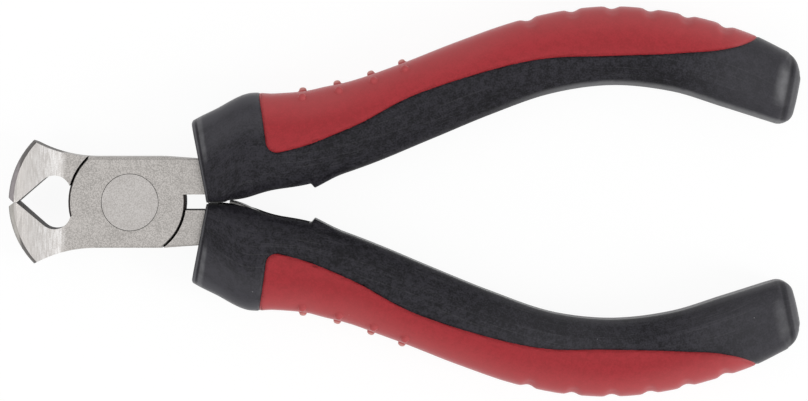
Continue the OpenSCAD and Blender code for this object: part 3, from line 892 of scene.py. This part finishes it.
@dataclass
class SeamLine:
    """The line between the black sleeve and the red inlay, seen from above."""

    form: GripForm
    corner_r: float = 1.6
    start: float = 2.86
    start_out: float = 2.22
    end: float = 11.35
    out_share: float = 1.4
    steps: int = 150
    # First, last and number of the distances tried from the corner to where its rounding begins
    corner_search: tuple[float, float, int] = (0.2, 4.0, 400)
    corner_steps: int = 16
    shares: Array = field(default_factory=lambda: np.array(
        [0.3, 0.33, 0.36, 0.38, 0.43, 0.49, 0.58, 0.54, 0.46, 0.372, 0.5, 0.84, 1.64]))

    def outline(self) -> Array:
        """The inlay's outline.

        Returns:
            A closed row of points, its front corner rounded.
        """
        u = np.linspace(self.start, self.end, self.steps)
        inside = self.form.at(u, smooth_curve(self.shares, u))
        back = np.linspace(self.end, self.start_out, self.steps)
        outside = self.form.at(back, self.out_share)
        return np.concatenate([self._corner(outside[-1], inside), outside])

    def _corner(self, front: Array, inside: Array) -> Array:
        """Rounds the corner between the front line, which comes from outside, and the inner line.

        Args:
            front: The outer end of the front line.
            inside: Points of the inner line, which starts in the corner.

        Returns:
            The front line's end, the rounding and the rest of the inner line.
        """
        corner = inside[0]
        way = (corner - front) / np.linalg.norm(corner - front)
        inward = np.array([-way[1], way[0]])
        inward *= np.sign(inward @ (inside[self.steps // 3] - corner))
        for back in np.linspace(*self.corner_search):
            centre = corner - way * back + inward * self.corner_r
            gaps = np.linalg.norm(inside - centre, axis=1)
            if gaps.min() >= self.corner_r:
                break
        touch = int(gaps.argmin())
        a = math.atan2(*(corner - way * back - centre)[::-1])
        b = math.atan2(*(inside[touch] - centre)[::-1])
        turn = (b - a + HALF_TURN) % (2 * HALF_TURN) - HALF_TURN
        arc = [centre + self.corner_r * np.array([math.cos(a + turn * t), math.sin(a + turn * t)])
               for t in np.linspace(0, 1, self.corner_steps)]
        return np.concatenate([[front], arc, inside[touch + 1:]])

    def distance(self, points: Array) -> Array:
        """Measures how far points lie inside the outline, seen from above.

        Args:
            points: Rows of x, y and z.

        Returns:
            Distances, below 0 outside it.
        """
        a = self.outline()
        b = np.roll(a, -1, axis=0)
        keep = np.linalg.norm(b - a, axis=1) > 1e-9
        best = np.full(len(points), 1e9)
        inside = np.zeros(len(points), bool)
        x, y = points[:, 0], points[:, 1]
        for (ax, ay), (bx, by) in zip(a[keep], b[keep]):
            dx, dy = bx - ax, by - ay
            t = np.clip(((x - ax) * dx + (y - ay) * dy) / (dx * dx + dy * dy), 0, 1)
            best = np.minimum(best, (x - ax - t * dx) ** 2 + (y - ay - t * dy) ** 2)
            if ay != by:
                inside ^= ((ay > y) != (by > y)) & (x < dx * (y - ay) / dy + ax)
        return np.where(inside, 1.0, -1.0) * np.sqrt(best)


@dataclass
class LeafLine:
    """Where a leaf spring lies in its grip, and the slot that takes it."""

    form: GripForm
    thick: float = 0.4
    wide: float = 5.2
    fit: float = 0.12
    sink: float = 0.28
    root_depth: float = 0.996
    tip: float = 1.3
    mouth: float = 3.93
    root: float = 4.62
    slot_front: float = 0.6
    sink_from: float = 3.43
    sink_to: float = 4.14
    lift_from: float = 2.9

    def seat(self, u: Stations) -> Stations:
        """Depth of a leaf's middle that lies flat in its slot."""
        flat = self.sink + self.thick / 2
        return flat + (self.root_depth - flat) * ease((u - self.sink_from) / (self.sink_to - self.sink_from))

    def lifted(self, u: Stations, lift: float) -> Stations:
        """Depth of a leaf's middle with its tip lifted by a distance."""
        return self.seat(u) - lift * ease((self.lift_from - u) / (self.lift_from - self.tip))


@dataclass
class GripMesh:
    """One grip as a fine closed surface, cut along its seam into a sleeve and an inlay."""

    form: GripForm = field(default_factory=GripForm)
    pitch: float = 0.32
    # First, last and number of the stations set closely at the fin, the front and the far end
    close_stations: tuple[tuple[float, float, int], ...] = (
        (3.95, 4.13, 13), (0.04, 0.56, 14), (11.5, 11.975, 20))
    run_steps: int = 2000
    arc_steps: int = 721
    slot_step: float = 0.02
    least_step: float = 0.012
    front_round: float = 0.35
    end_round: float = 2.2
    end_crown: float = 0.25
    end_shares: tuple[float, ...] = (0.85, 0.65, 0.4, 0.18)
    front_power: int = 40
    front_steps: int = 6
    end_steps: int = 16
    side_columns: int = 34
    facet_columns: int = 9
    slot_columns: int = 4
    wall: float = 0.06
    ridge: float = 0.035
    ridge_half: float = 0.11
    ridge_end: float = 0.4
    ridge_fade: float = 1.5
    pocket_depth: float = 3.0
    pocket_fit: float = 0.1
    pocket_square: int = 14
    pocket_floor: float = 0.4
    # Depth and scale of the pocket's rings near its mouth
    pocket_mouth: tuple[Pair, ...] = ((0.1, 1.0), (0.0, 1.02))
    shank_half: float = 3.5
    shank_shares: Pair = (0.085, 0.52)
    groove_half: float = 0.27
    groove_depth: float = 0.27
    groove_cuts: tuple[float, ...] = (0.0, -1.0, 1.0, -0.5, 0.5)
    groove_power: float = 1.5
    groove_side: float = 0.3
    inlay_thick: float = 1.45
    bed_depth: float = 1.5
    scallops: tuple[float, ...] = (8.03, 8.58, 9.06, 9.52, 10.0, 10.62)
    scallop_depth: float = 0.38
    scallop_r: float = 1.4
    scallop_round: float = 0.1
    scallop_half: float = 4.0
    # How far in from an edge, or up from the middle, a form begins or ends, and over what distance
    scallop_in: Pair = (2.8, 1.9)
    scallop_up: Pair = (5.75, 1.6)
    hollow_in: Pair = (0.7, 1.2)
    hollow_up: Pair = (1.8, 2.6)
    fin_in: Pair = (1.9, 1.7)
    fin_up: Pair = (4.6, 2.4)
    swell_in: Pair = (1.7, 1.2)
    swell_fade: float = 0.5
    fill_most: float = 0.95
    fill_from: float = -0.5
    # Distance from the front face, or the far end, and depth of the hollow that sets off a rim there
    front_hollow: tuple[Pair, ...] = (
        (0.2, 0.0), (0.34, 0.07), (0.48, 0.15), (0.62, 0.14), (0.9, 0.08), (1.4, 0.03), (2.0, 0.0))
    end_hollow: tuple[Pair, ...] = (
        (0.3, 0.0), (0.7, 0.04), (1.0, 0.18), (1.25, 0.36), (1.5, 0.42), (1.8, 0.37), (2.3, 0.24),
        (2.9, 0.11), (3.6, 0.03), (4.4, 0.0))
    fin_at: float = 4.05
    fin_height: float = 0.78
    fin_reach: Pair = (0.74, 4.2)
    fin_power: float = 1.3
    fin_clear: float = 2.0
    front_corner_r: float = 0.8
    end_corner_r: float = 3.8
    corner_steps: int = 25
    corner_edge_steps: int = 1200
    # How far from its centre a corner draws points in, counted in its radii
    corner_reach: float = 2.5
    # Angles in radians: what counts as the same direction, and where the rounding fades
    corner_window: float = 0.05
    corner_fade: float = 0.2
    # For places along each sleeve: how far the inner side beside the leaf is filled out near the front
    swells: dict[Half, Array] = field(default_factory=lambda: {
        Half.UPPER: np.array([[13.8, 0.285], [14.0, 0.24], [14.3, 0.05], [14.5, 0.0]]),
        Half.LOWER: np.array([[13.2, 0.0], [14.4, -0.26], [17.2, -0.26], [18.4, 0.0]])})
    snap: float = 0.1

    def __post_init__(self) -> None:
        """Makes the seam and the leaf's line on the same form."""
        self.seam = SeamLine(self.form)
        self.leaf = LeafLine(self.form)

    def _stations(self) -> Array:
        """Spaces the rings.

        Returns:
            Their stations, even along the grip, but closer at the slot's ends and where the form turns.
        """
        fine = np.linspace(0, self.form.last, self.run_steps)
        run = run_along(self.form.at(fine, 0.5))
        even = np.interp(np.linspace(0, run[-1], int(run[-1] / self.pitch)), run, fine)
        front, mouth = self.leaf.slot_front, self.leaf.mouth
        slot = [front, front + self.slot_step, mouth - self.slot_step, mouth]
        close = np.concatenate([slot, *(np.linspace(*stretch) for stretch in self.close_stations)])
        clear = np.abs(even[:, None] - close).min(axis=1) > self.least_step
        return np.sort(np.concatenate([even[clear | (even == 0)], close]))

    def _ring(self, u: float, inset: float, shift: float) -> Array:
        """One ring of the surface.

        Args:
            u: The station.
            inset: How far the section is drawn in.
            shift: How far it is moved along the grip.

        Returns:
            Its points, from the outer edge over the top, the inner edge and the underside.
        """
        form = self.form
        side, height = form.half_section(u, inset, np.linspace(0, HALF_TURN, self.arc_steps))
        run = np.concatenate([[0], np.cumsum(np.hypot(np.diff(side), np.diff(height)))])
        half_w = side[0]
        crease = np.interp(half_w * (1 - 2 * form.crease), -side, run)
        slot = self.leaf.wide / 2 + self.leaf.fit
        behind = run > crease
        wall = [np.interp(-z, -height[behind], run[behind]) for z in (slot, slot - self.wall)]
        stops = np.concatenate([
            np.linspace(0, crease - self.ridge_half, self.side_columns),
            [crease],
            np.linspace(crease + self.ridge_half, wall[0], self.facet_columns),
            np.linspace(wall[1], run[-1], self.slot_columns),
        ])
        q, z = np.interp(stops, run, side), np.interp(stops, run, height)
        inner = slice(self.side_columns, None)
        depth, lip = q[inner] + half_w, q[-self.slot_columns - 1] + half_w
        q[inner] = np.maximum(depth - lip, 0) * depth[0] / (depth[0] - lip) - half_w
        z[self.side_columns] += self.ridge * ease((form.last - self.ridge_end - u) * self.ridge_fade)
        if self.leaf.slot_front < u < self.leaf.mouth - self.slot_step / 2:
            q[-self.slot_columns:] = self.leaf.seat(u) + self.leaf.thick / 2 + self.leaf.fit - half_w
        middle = form.at(u, 0.5) + shift * form.ahead(u)
        top = np.column_stack([middle + q[:, None] * form.across(u), z])
        return np.concatenate([top, top[-2:0:-1] * np.array([1, 1, -1])])

    def _rings(self) -> list[Array]:
        """Makes all rings, with the pocket for the shank at the front and the crowned far end.

        Returns:
            The rings from the pocket's floor to the far end.
        """
        last, front_r, end_r = self.form.last, self.front_round, self.end_round
        front_turns = np.linspace(0, HALF_TURN / 2, self.front_steps, endpoint=False)
        end_turns = np.linspace(0, HALF_TURN / 2, self.end_steps + 1)[1:]
        front = [self._ring(0.0, front_r * (1 - math.sin(a)), front_r * (1 - math.cos(a)))
                 for a in front_turns]
        stations = self._stations()
        fade = np.clip(1 - stations / last, 0, 1) ** self.front_power
        body = [self._ring(float(u), 0.0, front_r * float(k)) for u, k in zip(stations, fade)]
        end = [self._ring(last, end_r * (1 - math.cos(a)), end_r * math.sin(a)) for a in end_turns]
        return self._pocket(front[0]) + front + body + end + self._end_face(end[-1])

    def _pocket(self, rim: Array) -> list[Array]:
        """Lines the pocket in the front face that the shank enters.

        Args:
            rim: The front face's outer ring.

        Returns:
            Rings from the pocket's floor outward.
        """
        form, power = self.form, self.pocket_square
        low, high = (share * form.width(0.0) for share in self.shank_shares)
        centre = form.deep(0.0, (low + high) / 2)
        half_q, half_z = (high - low) / 2 + self.pocket_fit, self.shank_half + self.pocket_fit
        across, ahead = form.across(0.0), form.ahead(0.0)
        q, z = (rim[:, :2] - centre) @ across, rim[:, 2]
        angle = np.arctan2(z / half_z, q / half_q)
        reach = (np.abs(np.cos(angle)) ** power + np.abs(np.sin(angle)) ** power) ** (-1 / power)
        mouth_q, mouth_z = reach * np.cos(angle) * half_q, reach * np.sin(angle) * half_z
        face = (rim[:, :2] - centre).mean(axis=0) @ ahead

        def hole(shift: float, scale: float) -> Array:
            """The pocket's outline at a depth and scale."""
            flat = centre + (mouth_q * scale)[:, None] * across + (face + shift) * ahead
            return np.column_stack([flat, mouth_z * scale])

        holes = [(self.pocket_depth, self.pocket_floor), (self.pocket_depth, 1.0), *self.pocket_mouth]
        return [hole(*depth) for depth in holes] + [(rim + hole(0.0, 1.0)) / 2]

    def _end_face(self, rim: Array) -> list[Array]:
        """Closes the far end with a slightly crowned face.

        Args:
            rim: The last ring of the rounded end.

        Returns:
            Rings from there inward.
        """
        centre = rim.mean(axis=0)
        out = np.array([*self.form.ahead(self.form.last), 0.0])
        return [centre + (rim - centre) * share + out * self.end_crown * (1 - share * share)
                for share in self.end_shares]

    def _surface(self) -> Mesh:
        """Points and faces of the closed surface, before it is cut."""
        rings = self._rings()
        return np.concatenate(rings), tube_faces(len(rings), len(rings[0]))

    def _local(self, points: Array, u: float, share: float) -> tuple[Array, Array]:
        """Distances along the grip, and out towards its outer edge, from a place on a section."""
        from_there = points[:, :2] - self.form.at(u, share)
        return from_there @ self.form.ahead(u), from_there @ self.form.across(u)

    def _scallop(self, points: Array) -> Array:
        """Cuts the scallops on the outer side.

        Args:
            points: Rows of x, y and z.

        Returns:
            How deep each point sinks.
        """
        depth = np.zeros(len(points))
        for u in self.scallops:
            along, out = self._local(points, u, 1.0)
            fade = fading(-out, *self.scallop_in) * fading(np.abs(points[:, 2]), *self.scallop_up)
            cut = self.scallop_depth * fade - along ** 2 / (2 * self.scallop_r)
            scoop = self.scallop_round * np.logaddexp(0, np.clip(cut / self.scallop_round, -40, 400))
            depth += np.where((np.abs(along) < self.scallop_half) & (fade > 0), np.maximum(scoop, 0), 0)
        return depth

    def _hollows(self, points: Array) -> Array:
        """Cuts the shallow hollows that set off a rim at the front and at the far end.

        Args:
            points: Rows of x, y and z.

        Returns:
            How deep each point sinks.
        """
        from_front, _ = self._local(points, 0.0, 0.5)
        past_last, _ = self._local(points, self.form.last, 0.5)
        _, depth = self._local(points, 0.0, 0.0)
        front = np.interp(from_front, *np.transpose(self.front_hollow)) * rising(depth, *self.hollow_in)
        end = np.interp(self.end_round + self.end_crown - past_last, *np.transpose(self.end_hollow))
        return (front + end) * rising(np.abs(points[:, 2]), *self.hollow_up)

    def _fin(self, points: Array) -> Array:
        """Raises the small fin that covers the leaf's root on the inner side.

        Args:
            points: Rows of x, y and z.

        Returns:
            The rows with the fin.
        """
        along, depth = self._local(points, self.fin_at, 0.0)
        front, back = self.fin_reach
        slope = np.clip(1 - along / back, 0, 1) ** self.fin_power
        rise = np.where(along < 0, ease(1 + along / front), slope)
        spread = fading(np.abs(points[:, 2]), *self.fin_up) * fading(depth, *self.fin_in)
        near = (along > -front) & (along < back) & (depth > -self.fin_clear)
        lift = np.where(near, self.fin_height * rise * spread, 0)
        moved = points.copy()
        moved[:, :2] -= lift[:, None] * self.form.across(self.fin_at)
        return moved

    def _corner(self, points: Array, end: float, beyond: float, radius: float) -> Array:
        """Rounds the outer corner of one end, as seen from above.

        Args:
            points: Rows of x, y and z.
            end: The station of that end.
            beyond: How far the end lies beyond the station.
            radius: The corner's radius.

        Returns:
            The points, with those near the corner drawn in.
        """
        out = self.form.ahead(end) * (1 if end else -1)
        edge = self.form.at(np.linspace(0, self.form.last, self.corner_edge_steps), 1.0)
        run = np.gradient(edge, axis=0)
        normals = np.column_stack([-run[:, 1], run[:, 0]]) / np.linalg.norm(run, axis=1)[:, None]
        centres = edge - radius * normals
        past = (centres - self.form.at(end, 1.0)) @ out
        k = int(np.argmin(np.abs(past - beyond + radius)))
        normal = normals[k]
        side = out - normal * (out @ normal)
        side /= np.linalg.norm(side)
        offset = points[:, :2] - centres[k]
        far = np.linalg.norm(offset, axis=1)
        near = far < self.corner_reach * radius
        turn = np.arctan2(offset @ side, offset @ normal)
        whole = math.atan2(float(out @ side), float(out @ normal))
        stops = np.linspace(0, whole, self.corner_steps)
        there = [(np.abs(turn - t) < self.corner_window) & near for t in stops]
        reach = [max(radius, np.max(far, where=here, initial=0)) for here in there]
        fade = ease(turn / self.corner_fade) * fading(turn, whole, self.corner_fade) * near
        moved = points.copy()
        moved[:, :2] += offset * (fade * (radius / np.interp(turn, stops, reach) - 1))[:, None]
        return moved

    def swollen(self, points: Array, half: Half) -> Array:
        """Fits a sleeve's inner side near the front, where the two sleeves all but meet.

        Args:
            points: Rows of x, y and z.
            half: The half that they belong to.

        Returns:
            The fitted rows.
        """
        along, depth = self._local(points, 0.0, 0.0)
        beside = rising(np.abs(points[:, 2]), self.leaf.wide / 2, self.swell_fade)
        amount = fading(depth, *self.swell_in) * beside
        short = np.clip(self.front_round - along, 0, self.fill_most * self.front_round)
        filled = self.front_round - np.sqrt(self.front_round ** 2 - short ** 2)
        swell = np.interp(points[:, 0], *self.swells[half].T)
        moved = points.copy()
        moved[:, 1] -= (swell + filled) * amount * (along > self.fill_from)
        return moved

    def build(self) -> tuple[Mesh, Mesh]:
        """Cuts the surface along the seam, and shapes it.

        Returns:
            Points and faces of the sleeve, and of the inlay, in millimetres about the pivot.
        """
        points, faces = self._surface()
        bm = bmesh.new()
        verts = [bm.verts.new(p) for p in points]
        for f in faces:
            bm.faces.new([verts[k] for k in f])
        bmesh.ops.recalc_face_normals(bm, faces=bm.faces)
        layer = bm.verts.layers.float.new("seam")
        for v, d in zip(bm.verts, self.seam.distance(points)):
            v[layer] = d
        for share in self.groove_cuts:
            self._cut(bm, layer, share * self.groove_half)
        bm.normal_update()
        bm.verts.index_update()
        base = np.array([v.co for v in bm.verts])
        normals = np.array([v.normal for v in bm.verts])
        seam = np.array([v[layer] for v in bm.verts])
        groove = np.clip(1 - (np.abs(seam) / self.groove_half) ** 2, 0, 1) ** self.groove_power
        groove *= self.groove_side + (1 - self.groove_side) * ease(np.abs(normals[:, 2]) / 0.5)
        depth = self._scallop(base) + self._hollows(base) + self.groove_depth * groove
        shaped = self._fin(base - normals * depth[:, None])
        shaped = self._corner(shaped, self.form.last, self.end_round, self.end_corner_r)
        shaped = self._corner(shaped, 0.0, 0.0, self.front_corner_r)
        red = [max(f.verts, key=lambda v: abs(v[layer]))[layer] > 0 for f in bm.faces]
        rows = [[v.index for v in f.verts] for f in bm.faces]
        border = [(e.verts[0].index, e.verts[1].index) for e in bm.edges
                  if len(e.link_faces) == 2 and red[e.link_faces[0].index] != red[e.link_faces[1].index]]
        bm.free()
        return (self._shell(shaped, normals, rows, [not r for r in red], red, border, self.bed_depth),
                self._shell(shaped, normals, rows, red, red, border, self.inlay_thick))

    def _cut(self, bm: bmesh.types.BMesh, layer: object, level: float) -> None:
        """Cuts the faces where the points' value passes a level.

        Args:
            bm: The surface.
            layer: The layer that holds the value.
            level: The level.
        """
        for e in bm.edges:
            a, b = e.verts
            fa, fb = a[layer] - level, b[layer] - level
            if fa * fb < 0 and abs(fa - fb) < 2 * self.pitch + 1:
                t = fa / (fa - fb)
                if t < self.snap:
                    a[layer] = level
                elif t > 1 - self.snap:
                    b[layer] = level
        crossing = [e for e in bm.edges
                    if (e.verts[0][layer] - level) * (e.verts[1][layer] - level) < 0]
        for e in crossing:
            a, b = e.verts
            fa, fb = a[layer] - level, b[layer] - level
            _, v = bmesh.utils.edge_split(e, a, fa / (fa - fb))
            v[layer] = level
        for f in list(bm.faces):
            values = [v[layer] - level for v in f.verts]
            if max(values) > 0 > min(values):
                on = [v for v, value in zip(f.verts, values) if value == 0]
                if len(on) == 2:
                    bmesh.utils.face_split(f, on[0], on[1])
        bm.faces.index_update()

    @staticmethod
    def _shell(points: Array, normals: Array, rows: list, shown: list[bool], red: list[bool],
               border: list, depth: float) -> Mesh:
        """Closes a part of the surface with a copy of the inlay's faces sunk below the surface.

        Args:
            points: All points of the cut surface.
            normals: Their outward directions.
            rows: All faces.
            shown: Which faces belong to this part.
            red: Which faces belong to the inlay.
            border: Edges of the seam.
            depth: How far the copy is sunk.

        Returns:
            Points and faces of the closed part.
        """
        count = len(points)
        both = np.concatenate([points, points - normals * depth])
        faces = [row for row, on in zip(rows, shown) if on]
        faces += [[k + count for k in row] for row, on in zip(rows, red) if on]
        faces += [[a, b, b + count, a + count] for a, b in border]
        used = sorted({k for f in faces for k in f})
        order = {k: i for i, k in enumerate(used)}
        return both[used], [[order[k] for k in f] for f in faces]


@dataclass
class GripBumps:
    """The rows of raised bumps on the back of an inlay."""

    form: GripForm
    stations: tuple[float, ...] = (3.76, 4.84, 5.56, 6.11)
    row_gap: float = 4.5
    around: int = 24
    # Radius and height of the rings of a bump, from its buried foot to its top
    profile: tuple[Pair, ...] = (
        (0.75, -0.3), (0.7, -0.03), (0.62, 0.02), (0.56, 0.1), (0.53, 0.24), (0.47, 0.38),
        (0.37, 0.48), (0.23, 0.55), (0.09, 0.58))

    def build(self) -> Mesh:
        """Points and faces of all bumps, in millimetres about the pivot."""
        return joined(*(self._bump(u, row * self.row_gap) for u in self.stations for row in (-1, 0, 1)))

    def _bump(self, u: float, z: float) -> Mesh:
        """One bump.

        Args:
            u: Its station.
            z: Its height above the middle.

        Returns:
            Its points and faces.
        """
        form = self.form
        thick, square, _ = smooth_curve(form.section, u)
        half_t, half_w = thick * (REST_HEIGHT + form.flat_cut), form.width(u) / 2
        reach = (1 - (abs(z) / half_t) ** square) ** (1 / square)
        foot = np.array([*form.at(u, (1 + reach) / 2), z])
        rise = np.sign(z) * (abs(z) / half_t) ** (square - 1) / half_t
        across = np.array([*form.across(u), 0.0])
        up = across * (reach ** (square - 1) / half_w) + np.array([0, 0, rise])
        up /= np.linalg.norm(up)
        along = np.array([*form.ahead(u), 0.0])
        side = np.cross(up, along)
        turn = np.linspace(0, 2 * HALF_TURN, self.around, endpoint=False)[:, None]
        rings = [foot + up * h + r * (np.cos(turn) * along + np.sin(turn) * side) for r, h in self.profile]
        return np.concatenate(rings), tube_faces(len(rings), self.around)


@dataclass
class Grips:
    """Both grips: black sleeves with a fin over each leaf's root, and red inlays with their bumps."""

    shop: Workshop
    mesh: GripMesh = field(default_factory=GripMesh)
    other_grain: float = 60.0

    def build(self) -> None:
        """Builds the four pieces."""
        sleeve, inlay = self.mesh.build()
        inlay = joined(inlay, GripBumps(self.mesh.form).build())
        for half in Half:
            self._dress(half, "sleeve", sleeve, Slot.BLACK)
            self._dress(half, "inlay", inlay, Slot.RED)

    def _dress(self, half: Half, kind: str, mesh: Mesh, slot: Slot) -> None:
        """Places one piece, and keeps its points' places on the grip for its finish.

        Args:
            half: The half that it rides on.
            kind: What it is, as in its node's name.
            mesh: Its points and faces.
            slot: The material slot of its finish.
        """
        points, faces = mesh
        form = self.mesh.form
        full = self.mesh.swollen(points, half) if slot is Slot.BLACK else points
        piece = self.shop.piece(f"{half.word}_{kind}", half.place(form.settled(full, half)), faces, slot)
        places, rim = form.unrolled(points)
        places += (half is Half.LOWER) * np.array([0.0, 0.0, self.other_grain])
        # Marks the upper grip, whose painted highlights are stronger than the lower's
        rim[:, 2] = half is Half.UPPER
        for name, rows in ((GRIP_PLACE, places), (GRIP_RIM, rim)):
            kept = piece.data.attributes.new(name, "FLOAT_VECTOR", "POINT")
            kept.data.foreach_set("vector", rows.astype(np.float32).ravel())
        self.shop.mount(piece, half, slot, f"{kind}_{half.word}")


@dataclass
class LeafSprings:
    """The two leaves, each lying in its grip's slot, the lower one with its tip lifted off its grip."""

    shop: Workshop
    line: LeafLine = field(default_factory=lambda: LeafLine(GripForm()))
    lower_lift: float = 0.76
    steps: int = 60
    root_steps: int = 12
    edge: float = 0.08
    sharp: float = 30.0

    def build(self) -> None:
        """Builds both leaves."""
        self._leaf(Half.UPPER, 0.0)
        self._leaf(Half.LOWER, self.lower_lift)

    def _leaf(self, half: Half, lift: float) -> None:
        """Builds one leaf.

        Args:
            half: The half that holds its root.
            lift: How far its tip stands off its grip.
        """
        line, e = self.line, self.edge
        u = np.linspace(line.tip, line.root, self.steps)
        depth = line.lifted(u, lift)
        half_t, half_w = line.thick / 2, line.wide / 2
        section = [(-half_t, half_w - e), (-half_t + e, half_w), (half_t - e, half_w), (half_t, half_w - e),
                   (half_t, e - half_w), (half_t - e, -half_w), (e - half_t, -half_w), (-half_t, e - half_w)]
        n = len(section)
        columns = [np.column_stack([line.form.deep(u, depth + d), np.full(len(u), z)]) for d, z in section]
        points = np.stack(columns, axis=1).reshape(-1, 3)
        placed = half.place(line.form.settled(points, half))
        faces = tube_faces(self.steps, n)
        piece = self.shop.piece(f"{half.word}_leaf", placed, faces, Slot.SPRING, self.sharp)
        ends = (self.steps - self.root_steps, 0)
        root, tip = (Vector(placed[k * n:(k + 1) * n].mean(axis=0)) for k in ends)
        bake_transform(piece)
        self.shop.declare(piece, Slot.SPRING, f"leaf_spring_{half.word}")


@dataclass
class Levers:
    """Both forged levers, with the frame's faces and finely rounded edges."""

    shop: Workshop
    edge_round: float = 0.07
    round_steps: int = 2
    round_angle: float = 28.0
    flat_angle: float = 0.2
    weld: float = 1e-4
    sharp: float = 60.0

    def build(self) -> None:
        """Builds both levers."""
        for half in Half:
            node = f"lever_{half.word}"
            piece = self.shop.object(f"{half.word}_lever", self._rounded(node), Slot.FORGED, self.sharp)
            normals = piece.modifiers.new("even_normals", "WEIGHTED_NORMAL")
            normals.keep_sharp = True
            self.shop.mount(piece, half, Slot.FORGED, node)

    def _rounded(self, node: str) -> bpy.types.Mesh:
        """Welds a copy of a node's mesh and rounds its edges.

        Args:
            node: The node's name.

        Returns:
            The copy.
        """
        copy = bpy.data.objects.new("rounding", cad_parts[node].data.copy())
        bpy.context.scene.collection.objects.link(copy)
        bm = bmesh.new()
        bm.from_mesh(copy.data)
        bmesh.ops.remove_doubles(bm, verts=bm.verts, dist=self.weld * MM)
        flat = math.radians(self.flat_angle)
        bmesh.ops.dissolve_limit(bm, angle_limit=flat, verts=bm.verts, edges=bm.edges)
        bm.to_mesh(copy.data)
        bm.free()
        bevel = copy.modifiers.new("rounding", "BEVEL")
        bevel.width = self.edge_round * MM
        bevel.segments = self.round_steps
        bevel.limit_method = "ANGLE"
        bevel.angle_limit = math.radians(self.round_angle)
        bevel.miter_outer = "MITER_ARC"
        seen = copy.evaluated_get(bpy.context.evaluated_depsgraph_get())
        mesh = bpy.data.meshes.new_from_object(seen)
        bpy.data.objects.remove(copy)
        return mesh


class Rivets:
    """The pivot rivet and the rivets of the leaves, which stay the frame's nodes."""

    nodes = ("pivot_rivet", "spring_rivet_upper", "spring_rivet_lower")

    def build(self, shop: Workshop) -> None:
        """Gives the rivets their finish."""
        for node in self.nodes:
            shop.dress_node(node, Slot.RIVET)


@dataclass(frozen=True)
class Lamp:
    """A soft rectangular lamp that shines at the tool, with its sizes in millimetres and power in watts."""

    name: str
    place: Triple
    width: float
    length: float
    power: float

    def build(self) -> None:
        """Hangs the lamp."""
        light = bpy.data.lights.new(self.name, "AREA")
        light.shape = "RECTANGLE"
        light.size, light.size_y = self.width * MM, self.length * MM
        light.energy = self.power
        lamp = bpy.data.objects.new(self.name, light)
        lamp.location = Vector(self.place) * MM
        lamp.rotation_euler = (-lamp.location).to_track_quat("-Z", "Y").to_euler()
        bpy.context.scene.collection.objects.link(lamp)


@dataclass
class Studio:
    """A pale floor, two soft lamps and the camera."""

    view_width: float = 117.77
    view_height: float = 780.0
    view_level: float = 5.8
    view_side: float = 26.0
    sensor: float = 36.0
    aim: Pair = (0.17, 0.16)
    ambient: float = 0.6
    floor_colour: Colour = (0.9, 0.9, 0.9)
    floor_white: float = 0.88
    floor_glow: float = 1.045
    floor_size: float = 6000.0
    clip: Pair = (0.01, 20.0)
    lamps: tuple[Lamp, ...] = (
        Lamp("lamp_left", (-380.0, -120.0, 560.0), 420.0, 900.0, 0.55),
        Lamp("lamp_right", (520.0, -160.0, 330.0), 160.0, 500.0, 1.2))

    def build(self) -> None:
        """Builds the studio and points the camera."""
        scene = bpy.context.scene
        scene.view_settings.view_transform = "Standard"
        self._world(scene)
        self._floor(scene)
        for lamp in self.lamps:
            lamp.build()
        self._camera(scene)

    @staticmethod
    def _seen(s: Shader) -> Value:
        """1 for rays that show the background: those of the camera, reflections and glass."""
        rays = ("Is Camera Ray", "Is Glossy Ray", "Is Transmission Ray")
        return s.math("MINIMUM", sum((s.node("ShaderNodeLightPath", output=ray) for ray in rays), 0.0), 1.0)

    def _world(self, scene: bpy.types.Scene) -> None:
        """Sets up a white surround that gives a plain soft light.

        Args:
            scene: The scene.
        """
        scene.world = bpy.data.worlds.new("studio")
        s = Shader(scene.world)
        strength = self.ambient + self._seen(s) * (1 - self.ambient)
        light = s.node("ShaderNodeBackground", inputs={"Color": (1.0, 1.0, 1.0), "Strength": strength})
        s.node_output("ShaderNodeOutputWorld", light)

    def _floor(self, scene: bpy.types.Scene) -> None:
        """Lays a pale floor that keeps a faint shadow.

        Args:
            scene: The scene.
        """
        half = self.floor_size / 2 * MM
        mesh = bpy.data.meshes.new("floor")
        corners = [(-half, -half, 0), (half, -half, 0), (half, half, 0), (-half, half, 0)]
        mesh.from_pydata(corners, [], [(0, 1, 2, 3)])
        floor = bpy.data.objects.new("floor", mesh)
        scene.collection.objects.link(floor)
        s = Shader.material("floor")
        white = s.node("ShaderNodeEmission", inputs={"Color": (1.0, 1.0, 1.0), "Strength": self.floor_glow})
        paint = s.node("ShaderNodeBsdfDiffuse", inputs={"Color": self.floor_colour})
        inputs = {0: self._seen(s) * self.floor_white, 1: paint, 2: white}
        s.node_output("ShaderNodeOutputMaterial", s.node("ShaderNodeMixShader", inputs=inputs))
        mesh.materials.append(s.owner)

    def _camera(self, scene: bpy.types.Scene) -> None:
        """Hangs the camera nearly straight above the tool, as the photograph has it.

        Args:
            scene: The scene.
        """
        data = bpy.data.cameras.new("camera")
        data.sensor_width = self.sensor
        place = Vector((0.0, self.view_side, self.view_level + self.view_height))
        target = Vector((*self.aim, self.view_level))
        data.lens = self.sensor * (place - target).length / self.view_width
        data.clip_start, data.clip_end = self.clip
        camera = bpy.data.objects.new("camera", data)
        camera.location = place * MM
        camera.rotation_euler = (math.atan2(target.y - place.y, place.z - target.z), 0.0, 0.0)
        scene.collection.objects.link(camera)
        scene.camera = camera


def main() -> None:
    """Builds the object and the studio round it."""
    logging.basicConfig(level=logging.INFO, format="%(name)s %(message)s")
    shop = Workshop()
    Studio().build()
    Levers(shop).build()
    Rivets().build(shop)
    Grips(shop).build()
    LeafSprings(shop).build()


if __name__ == "__main__":
    main()
